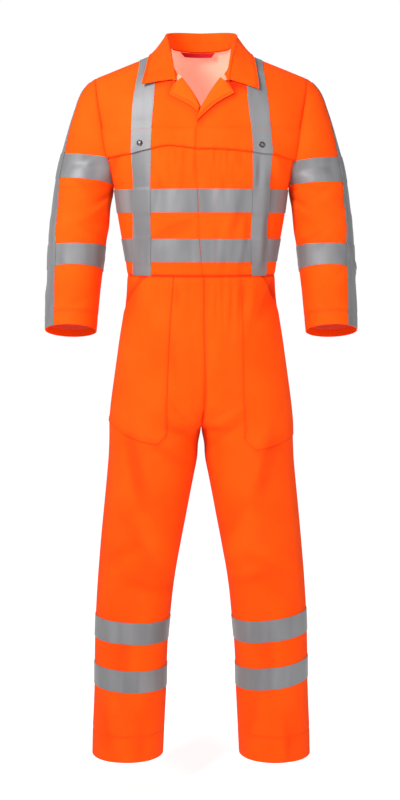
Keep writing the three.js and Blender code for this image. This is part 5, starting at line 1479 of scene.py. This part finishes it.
# Sleeves.
for side in ("right", "left"):
    sheet = sheets["sleeve_" + side]
    inside = np.where(sheet.number[:-1, None] >= CUFF_LINING_ROW, 2, inner_side(sheet))
    piece("sleeve_cloth_" + side, sheet, 0, -CLOTH, [ORANGE, INSIDE, HEM], "orange_cloth", "sleeve_" + side,
          inside)
    for n, band_rows in enumerate(SLEEVE_BANDS):
        band = sheet.part(sheet.span(*band_rows), sheet.columns)
        tape(f"sleeve_tape{n + 1}_{side}", band, LAY, f"sleeve_band{n + 1}_{side}")
        stitch_band(sheet, *band_rows, sheet.columns)
    rows = sheet.span(1, CUFF_ROW)
    lift = band_lift(rows, SLEEVE_BANDS, 0.05)
    stripe = sheet.part(rows, sheet.reach(*STRIPE_COLS))
    tape("sleeve_stripe_tape_" + side, stripe, lift[:, None], "sleeve_stripe_" + side)
    stitch_strip(sheet, rows, *STRIPE_COLS, lift)
    stitch("orange", sheet, HEM_SEAM_ROW, sheet.columns)
    stitch("orange", sheet, CUFF_ROW, sheet.columns, ON_CLOTH, 2.0, DOWN_ROW)

# Trousers, pockets and leg bands. A pocket's upper corner at the side is cut off by its slanting opening.
for side in ("right", "left"):
    fore, rear = sheets["leg_front_" + side], sheets["leg_back_" + side]
    start = POCKET_COL[side]
    rows = fore.span(0, CROTCH_ROW)
    width = np.minimum(6, 2 + rows)[:, None]
    pocket = fore.part(rows, start + width * np.linspace(0, 1, POCKET_COLS))
    count = np.arange(len(rows))
    cols = np.arange(POCKET_COLS)
    rim = np.minimum(np.minimum(cols, cols[::-1]), count[::-1, None])
    pocket.tone = pocket.tone + 0.45 * np.exp(-((rim / 0.5) ** 2))
    piece("pocket_cloth_" + side, pocket, LAY + POCKET_CLOTH, LAY, [ORANGE, WRONG], "orange_cloth",
          "pocket_" + side)
    slant = np.linspace(0, 4, 9)
    line = fore.pick(fore.row(slant), fore.col(start + 2 + slant))[0]
    shade_along(fore, side, line[:, 0] * SIGN[side], line[:, 2], *POCKET_SHADE)
    for part, sheet in (("front", fore), ("back", rear)):
        level = sheet.points[:-1].mean(1)[:, 2]
        # Near the crotch the inner faces take the darker turned-hem cloth, as painted shade between the legs.
        painted_crotch_shade = np.abs(level - CROTCH_Z - 10) < 50
        inside = np.where((sheet.number[:-1] >= LEG_HEM_ROW) | painted_crotch_shade, 2, 1)
        piece(f"trouser_cloth_{part}_{side}", sheet, 0, -CLOTH, [ORANGE, WRONG, HEM], "orange_cloth",
              f"trouser_{part}_{side}", inside)
    lift = LAY + POCKET_CLOTH + ON_CLOTH
    for inset in POCKET_LINES:
        stitch("orange", pocket, count, 0, lift, inset, UP_COL)
        stitch("orange", pocket, count[-1], pocket.columns, lift, inset, DOWN_ROW)
    stitch("orange", pocket, count[rows < 4.3], pocket.columns[-1], lift, 3.0, DOWN_COL)
    stitch("orange", rear, np.linspace(0, LEG_END_ROW, 260), 0, ON_CLOTH, SEAM_INSET, UP_COL)
    stitch("orange", rear, np.linspace(12, LEG_END_ROW, 170), 8, ON_CLOTH, SEAM_INSET, DOWN_COL)
    if side == "left":
        stitch("orange", rear, np.linspace(0, CROTCH_ROW, 90), 8, ON_CLOTH, SEAM_INSET, DOWN_COL)
        stitch("orange", fore, np.linspace(0, 9.5, 80), 0, ON_CLOTH, FLY_INSET, UP_COL)
    for sheet in (fore, rear):
        stitch("orange", sheet, LEG_HEM_ROW, sheet.columns)
    for n, high_row in enumerate(LEG_BAND_ROWS):
        rows = np.linspace(high_row, high_row + 2, 12)
        ring = joined(fore.part(rows, fore.columns), rear.part(rows, rear.columns), 1)
        tape(f"leg_tape{n + 1}_{side}", ring, LAY, f"leg_band{n + 1}_{side}")
        for sheet in (fore, rear):
            stitch_band(sheet, high_row, high_row + 2, sheet.columns)


def front_depth(x, z):
    """Depth of the chest at a point, or of the front of the shoulder, which is a quarter of an ellipse."""
    x, z = np.asarray(x, float), np.asarray(z, float)
    sine = np.clip((z - ROLL_Z) / (top_edge(-1, x)[1] - ROLL_Z), 0, 1)
    return np.where(z <= ROLL_Z, flat_depth(-1, x, z), flat_depth(-1, x, ROLL_Z) * np.sqrt(1 - sine**2))


def neck_point(s):
    """Where the collar meets the neck seam, from the middle of the back to its front end.

    Behind the neck it is half an ellipse; in front it goes down the front's edge by a power of the share.
    """
    if s <= 0.5:
        x = NECK_HALF * math.sin(s * math.pi)
        return np.array([x, NECK_BACK_Y * math.cos(s * math.pi), NECK_BACK_Z * (1 - x / NECK_HALF)])
    z = NOTCH_Z * (2 * s - 1) ** 1.3
    x = float(at(FRONT_EDGE["left"], z, "x"))
    return np.array([x, -float(front_depth(x, z)), z])


def clear_of_shoulder(p, distance):
    """Moves points outwards from the shoulder's ellipse until they are clear of it by a distance."""
    face = np.where(p[..., 1] < 0, -1, 1)
    top = [np.where(face < 0, a, b) for a, b in zip(top_edge(-1, p[..., 0]), top_edge(1, p[..., 0]))]
    low = np.where(face < 0, flat_depth(-1, p[..., 0], ROLL_Z), flat_depth(1, p[..., 0], ROLL_Z))
    dy, dz = face * p[..., 1] - top[0], p[..., 2] - ROLL_Z
    share = np.hypot(dy / (low - top[0]), dz / (top[1] - ROLL_Z))
    reach = np.hypot(dy, dz)
    scale = np.where(dy < 0, 1, np.maximum(1, (reach / np.maximum(share, 1e-6) + distance) / reach))
    return np.stack([p[..., 0], face * (top[0] + dy * scale), ROLL_Z + dz * scale], -1)


def collar_row(side, s):
    """One row of the collar at a share of its half: the stand up from the neck, the fold and the leaf down.

    Stand and leaf are straight lines bowed outwards by a sine, and the fold is half a circle between them.
    """
    near = max(0.0, s - 0.8) / 0.2
    fold, edge = (np.array([float(at(COLLAR, s, line + k, "s")) for k in "XYZ"]) for line in ("fold", "edge"))
    edge += np.array([TIP_SHIFT[side][0], 0, TIP_SHIFT[side][1]]) * near
    neck = neck_point(s)
    up = unit(fold - neck)
    out = edge - neck
    out = unit(out - up * out.dot(up))
    inner, outer = (fold - up * FOLD_RADIUS + out * FOLD_RADIUS * k for k in (-1, 1))
    t = np.linspace(0, 1, STAND_COLS)[:, None]
    stand = mix(neck + up * COLLAR_NECK_GAP, inner, t) + out * STAND_BOW * np.sin(math.pi * t)
    turn = np.radians(np.linspace(-90, 90, FOLD_COLS + 2))[1:-1, None]
    roll = fold - up * FOLD_RADIUS + out * FOLD_RADIUS * np.sin(turn) + up * FOLD_RADIUS * np.cos(turn)
    t = np.linspace(0, 1, LEAF_COLS)[:, None]
    leaf = clear_of_shoulder(mix(outer, edge, t), COLLAR_LIFT) + out * LEAF_BOW * np.sin(math.pi * t)
    return np.concatenate([stand, roll, leaf]) * [SIGN[side], 1, 1]


# Collar: a stand round the neck that folds over into a leaf, stitched along its edges.
steps = range(-COLLAR_HALF_ROWS, COLLAR_HALF_ROWS + 1)
collar_rows = [collar_row("right" if i < 0 else "left", abs(i) / COLLAR_HALF_ROWS) for i in steps]
cols = STAND_COLS + FOLD_COLS + LEAF_COLS
collar = Sheet(np.array(collar_rows), np.arange(len(steps)), np.arange(cols), (0, 0, 1))
crest = np.argmax(collar.points[COLLAR_HALF_ROWS, :, 2])
if collar.normals[COLLAR_HALF_ROWS, crest, 2] < 0:
    collar.normals, collar.flip = -collar.normals, not collar.flip
distance = np.minimum(np.abs(collar.u[:, -1:] - collar.u - TOPSTITCH), 9)
collar.tone = np.exp(-((distance / 2.6) ** 2)) * 0.45
piece("collar_cloth", collar, COLLAR_HALF, -COLLAR_HALF, [ORANGE, ORANGE], "orange_cloth", "collar")
seam_lift = COLLAR_HALF + 0.15
ends = np.arange(STAND_COLS + FOLD_COLS - 1, cols - 2)
stitch("orange", collar, collar.number, cols - 2, seam_lift, TOPSTITCH, DOWN_COL)
stitch("orange", collar, 0, ends, seam_lift, TOPSTITCH)
stitch("orange", collar, collar.number[-1], ends, seam_lift, TOPSTITCH, DOWN_ROW)
stitch("orange", collar, collar.number, 1.2, seam_lift)

# Lapels: the fronts turned outwards on the line where they open, bulging over the turn.
for side in ("right", "left"):
    rows = np.stack([LAPEL[side][k] for k in ("turnX", "turnZ", "edgeX", "edgeZ")], -1)[:, None]
    smooth, number = refine(rows[:4], 3.0)
    t = np.linspace(0, 1, 8)[1:, None, None]
    rows = np.concatenate([smooth, mix(rows[3], rows[4], t)])[:, 0]
    t = np.linspace(0, 1, 15)
    x, z = mix(rows[:, :1], rows[:, 2:3], t), mix(rows[:, 1:2], rows[:, 3:4], t)
    lift = LAPEL_LIFT[0] + (LAPEL_LIFT[1] - LAPEL_LIFT[0]) * t + LAPEL_BULGE * np.sin(math.pi * t**0.7)
    points = np.stack([SIGN[side] * x, -front_depth(x, z) - lift, z], -1)
    lapel = Sheet(points, np.arange(len(points)), np.arange(15), (0, -1, 0.4))
    gap = lapel.u[:, -1:] - lapel.u
    lapel.tone = 0.4 * np.exp(-(((gap - TOPSTITCH) / 2.4) ** 2))
    piece("lapel_cloth_" + side, lapel, LAPEL_HALF, -LAPEL_HALF, [FACING, ORANGE], "orange_cloth",
          "lapel_" + side)
    seam_lift = LAPEL_HALF + 0.15
    stitch("orange", lapel, lapel.number[:-2], 14, seam_lift, TOPSTITCH, DOWN_COL)
    stitch("orange", lapel, lapel.number[-1], lapel.columns[:-2], seam_lift, TOPSTITCH, DOWN_ROW)

# Inner facing that shows in each notch, between the collar's end and the lapel.
for side in ("right", "left"):
    t, s = np.linspace(0, 1, 9)[:, None], np.linspace(0, 1, 8)
    open_z, outer_z = mix(*NOTCH["open_z"], t), mix(*NOTCH["outer_z"], t)
    x, z = mix(at(FRONT_EDGE["left"], open_z, "x"), NOTCH["outer_x"], s), mix(open_z, outer_z, s)
    points = np.stack([SIGN[side] * x, -front_depth(x, z) - NOTCH["lift"], z], -1)
    notch = Sheet(points, np.arange(9), np.arange(8), (0, -1, 0.4))
    piece("notch_facing_cloth_" + side, notch, NOTCH["cloth"], 0, [PEACH], "orange_cloth")

# Neck label, plain, hanging from its sewn edge.
t, k = np.linspace(0, 1, 9)[:, None], np.linspace(0, 1, 41)
x = mix(mix(*LABEL["top"], k), mix(*LABEL["low"], k), t)
z = LABEL["z"][0] + (LABEL["z"][1] - LABEL["z"][0]) * t + 0 * x
y = top_edge(1, x)[0] - LABEL["in"] - 0.4 * np.sin(math.pi * k) * t
label = Sheet(np.stack([x, y, z], -1), np.arange(9), np.arange(41), (0, -1, 0))
piece("label_cloth", label, LABEL["cloth"], 0, [RED], "red_label", "neck_label")
stitch("orange", label, 0, label.columns, LABEL["cloth"] + 0.1, 1.2)

sew("stitching_orange", "orange", ORANGE_THREAD)
sew("stitching_pale", "pale", GREY_THREAD)

# Press studs: a profile of radius and height turned round the line straight out of the tape.
for side in ("right", "left"):
    x, z = STUDS[side]
    slope_x = (front_depth(x + 1, z) - front_depth(x - 1, z)) / 2
    slope_z = (front_depth(x, z + 1) - front_depth(x, z - 1)) / 2
    out = unit(np.array([-slope_x * SIGN[side], -1, -slope_z]))
    across = unit(np.cross(out, [0, 0, 1]))
    up = np.cross(across, out)
    place = np.array([SIGN[side] * x, -float(front_depth(x, z)), z]) + out * STUD_BASE
    for part, profile, material, finish_slot in (("ring", RING, DARK, "dark_metal"),
                                                 ("cap", CAP, BRIGHT, "bright_metal")):
        turn = np.linspace(0, 2 * math.pi, STUD_SIDES, endpoint=False)[:, None]
        circle = np.cos(turn) * across + np.sin(turn) * up
        verts = np.concatenate([place + radius * circle + rise * out for radius, rise in profile])
        a = np.arange(STUD_SIDES)
        b = (a + 1) % STUD_SIDES
        belt = np.stack([a, b, b + STUD_SIDES, a + STUD_SIDES], -1)
        quads = np.concatenate([belt + STUD_SIDES * i for i in range(len(profile) - 1)])
        obj = make(f"stud_{part}_metal_{side}", verts, quads, None, [material], np.zeros(len(quads), int))
        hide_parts(f"stud_{part}_{side}")

# Floor: plain pale board below the hems.
mesh = bpy.data.meshes.new("pale_floor")
mesh.from_pydata([(x * STAGE, y * STAGE, FLOOR_Z) for x, y in ((-1, -1), (1, -1), (1, 1), (-1, 1))], [],
                 [(0, 1, 2, 3)])
floor = bpy.data.objects.new("pale_floor", mesh)
bpy.context.scene.collection.objects.link(floor)
mesh.materials.append(start_material("pale_floor", {
    "Base Color": colour("#d0d0d0"), "Roughness": 0.9, "Specular IOR Level": 0.0,
    "Emission Color": (1, 1, 1, 1), "Emission Strength": 0.72})[0])

# Studio: an even white surround, brighter straight behind the garment.
world = bpy.data.worlds.new("studio")
world.use_nodes = True
tree = world.node_tree
sky = node(tree, "ShaderNodeTexCoord", {}).outputs["Generated"]
ahead = node(tree, "ShaderNodeSeparateXYZ", {"Vector": sky}).outputs["Y"]
backdrop = node(tree, "ShaderNodeMapRange", {"Value": ahead, "From Min": 0.88, "From Max": 0.96,
                                             "To Min": 0.42, "To Max": 1.02})
tree.links.new(backdrop.outputs[0], tree.nodes["Background"].inputs["Strength"])
tree.nodes["Background"].inputs["Color"].default_value = (1, 1, 1, 1)
bpy.context.scene.world = world

# Two soft lights: place, target, width and height in metres, and power in watts.
for name, place, target, size, power in (
        ("key_softbox", (-1.1, -1.5, 0.6), (0, 0, -0.4), (0.6, 0.7), 58),
        ("fill_softbox", (1.6, -2.0, 0.0), (0, 0, -0.6), (0.6, 1.2), 22)):
    light = bpy.data.lights.new(name, "AREA")
    light.shape = "RECTANGLE"
    light.size, light.size_y = size
    light.energy = power
    obj = bpy.data.objects.new(name, light)
    obj.location = place
    direction = np.array(target, float) - np.array(place, float)
    yaw = math.atan2(direction[0], direction[1])
    pitch = math.atan2(direction[2], math.hypot(direction[0], direction[1]))
    obj.rotation_euler = (math.pi / 2 + pitch, 0, -yaw)
    bpy.context.scene.collection.objects.link(obj)

# Camera: in front of the garment, a little above its middle and tilted down.
camera = bpy.data.cameras.new("photo_camera")
camera.sensor_width = 36
camera.lens = 58.5
viewer = bpy.data.objects.new("photo_camera", camera)
viewer.location = (-0.0025, -3.0, -0.410)
viewer.rotation_euler = (math.radians(90 - 7.36), 0, 0)
bpy.context.scene.collection.objects.link(viewer)
bpy.context.scene.camera = viewer
bpy.context.scene.view_settings.view_transform = "Standard"
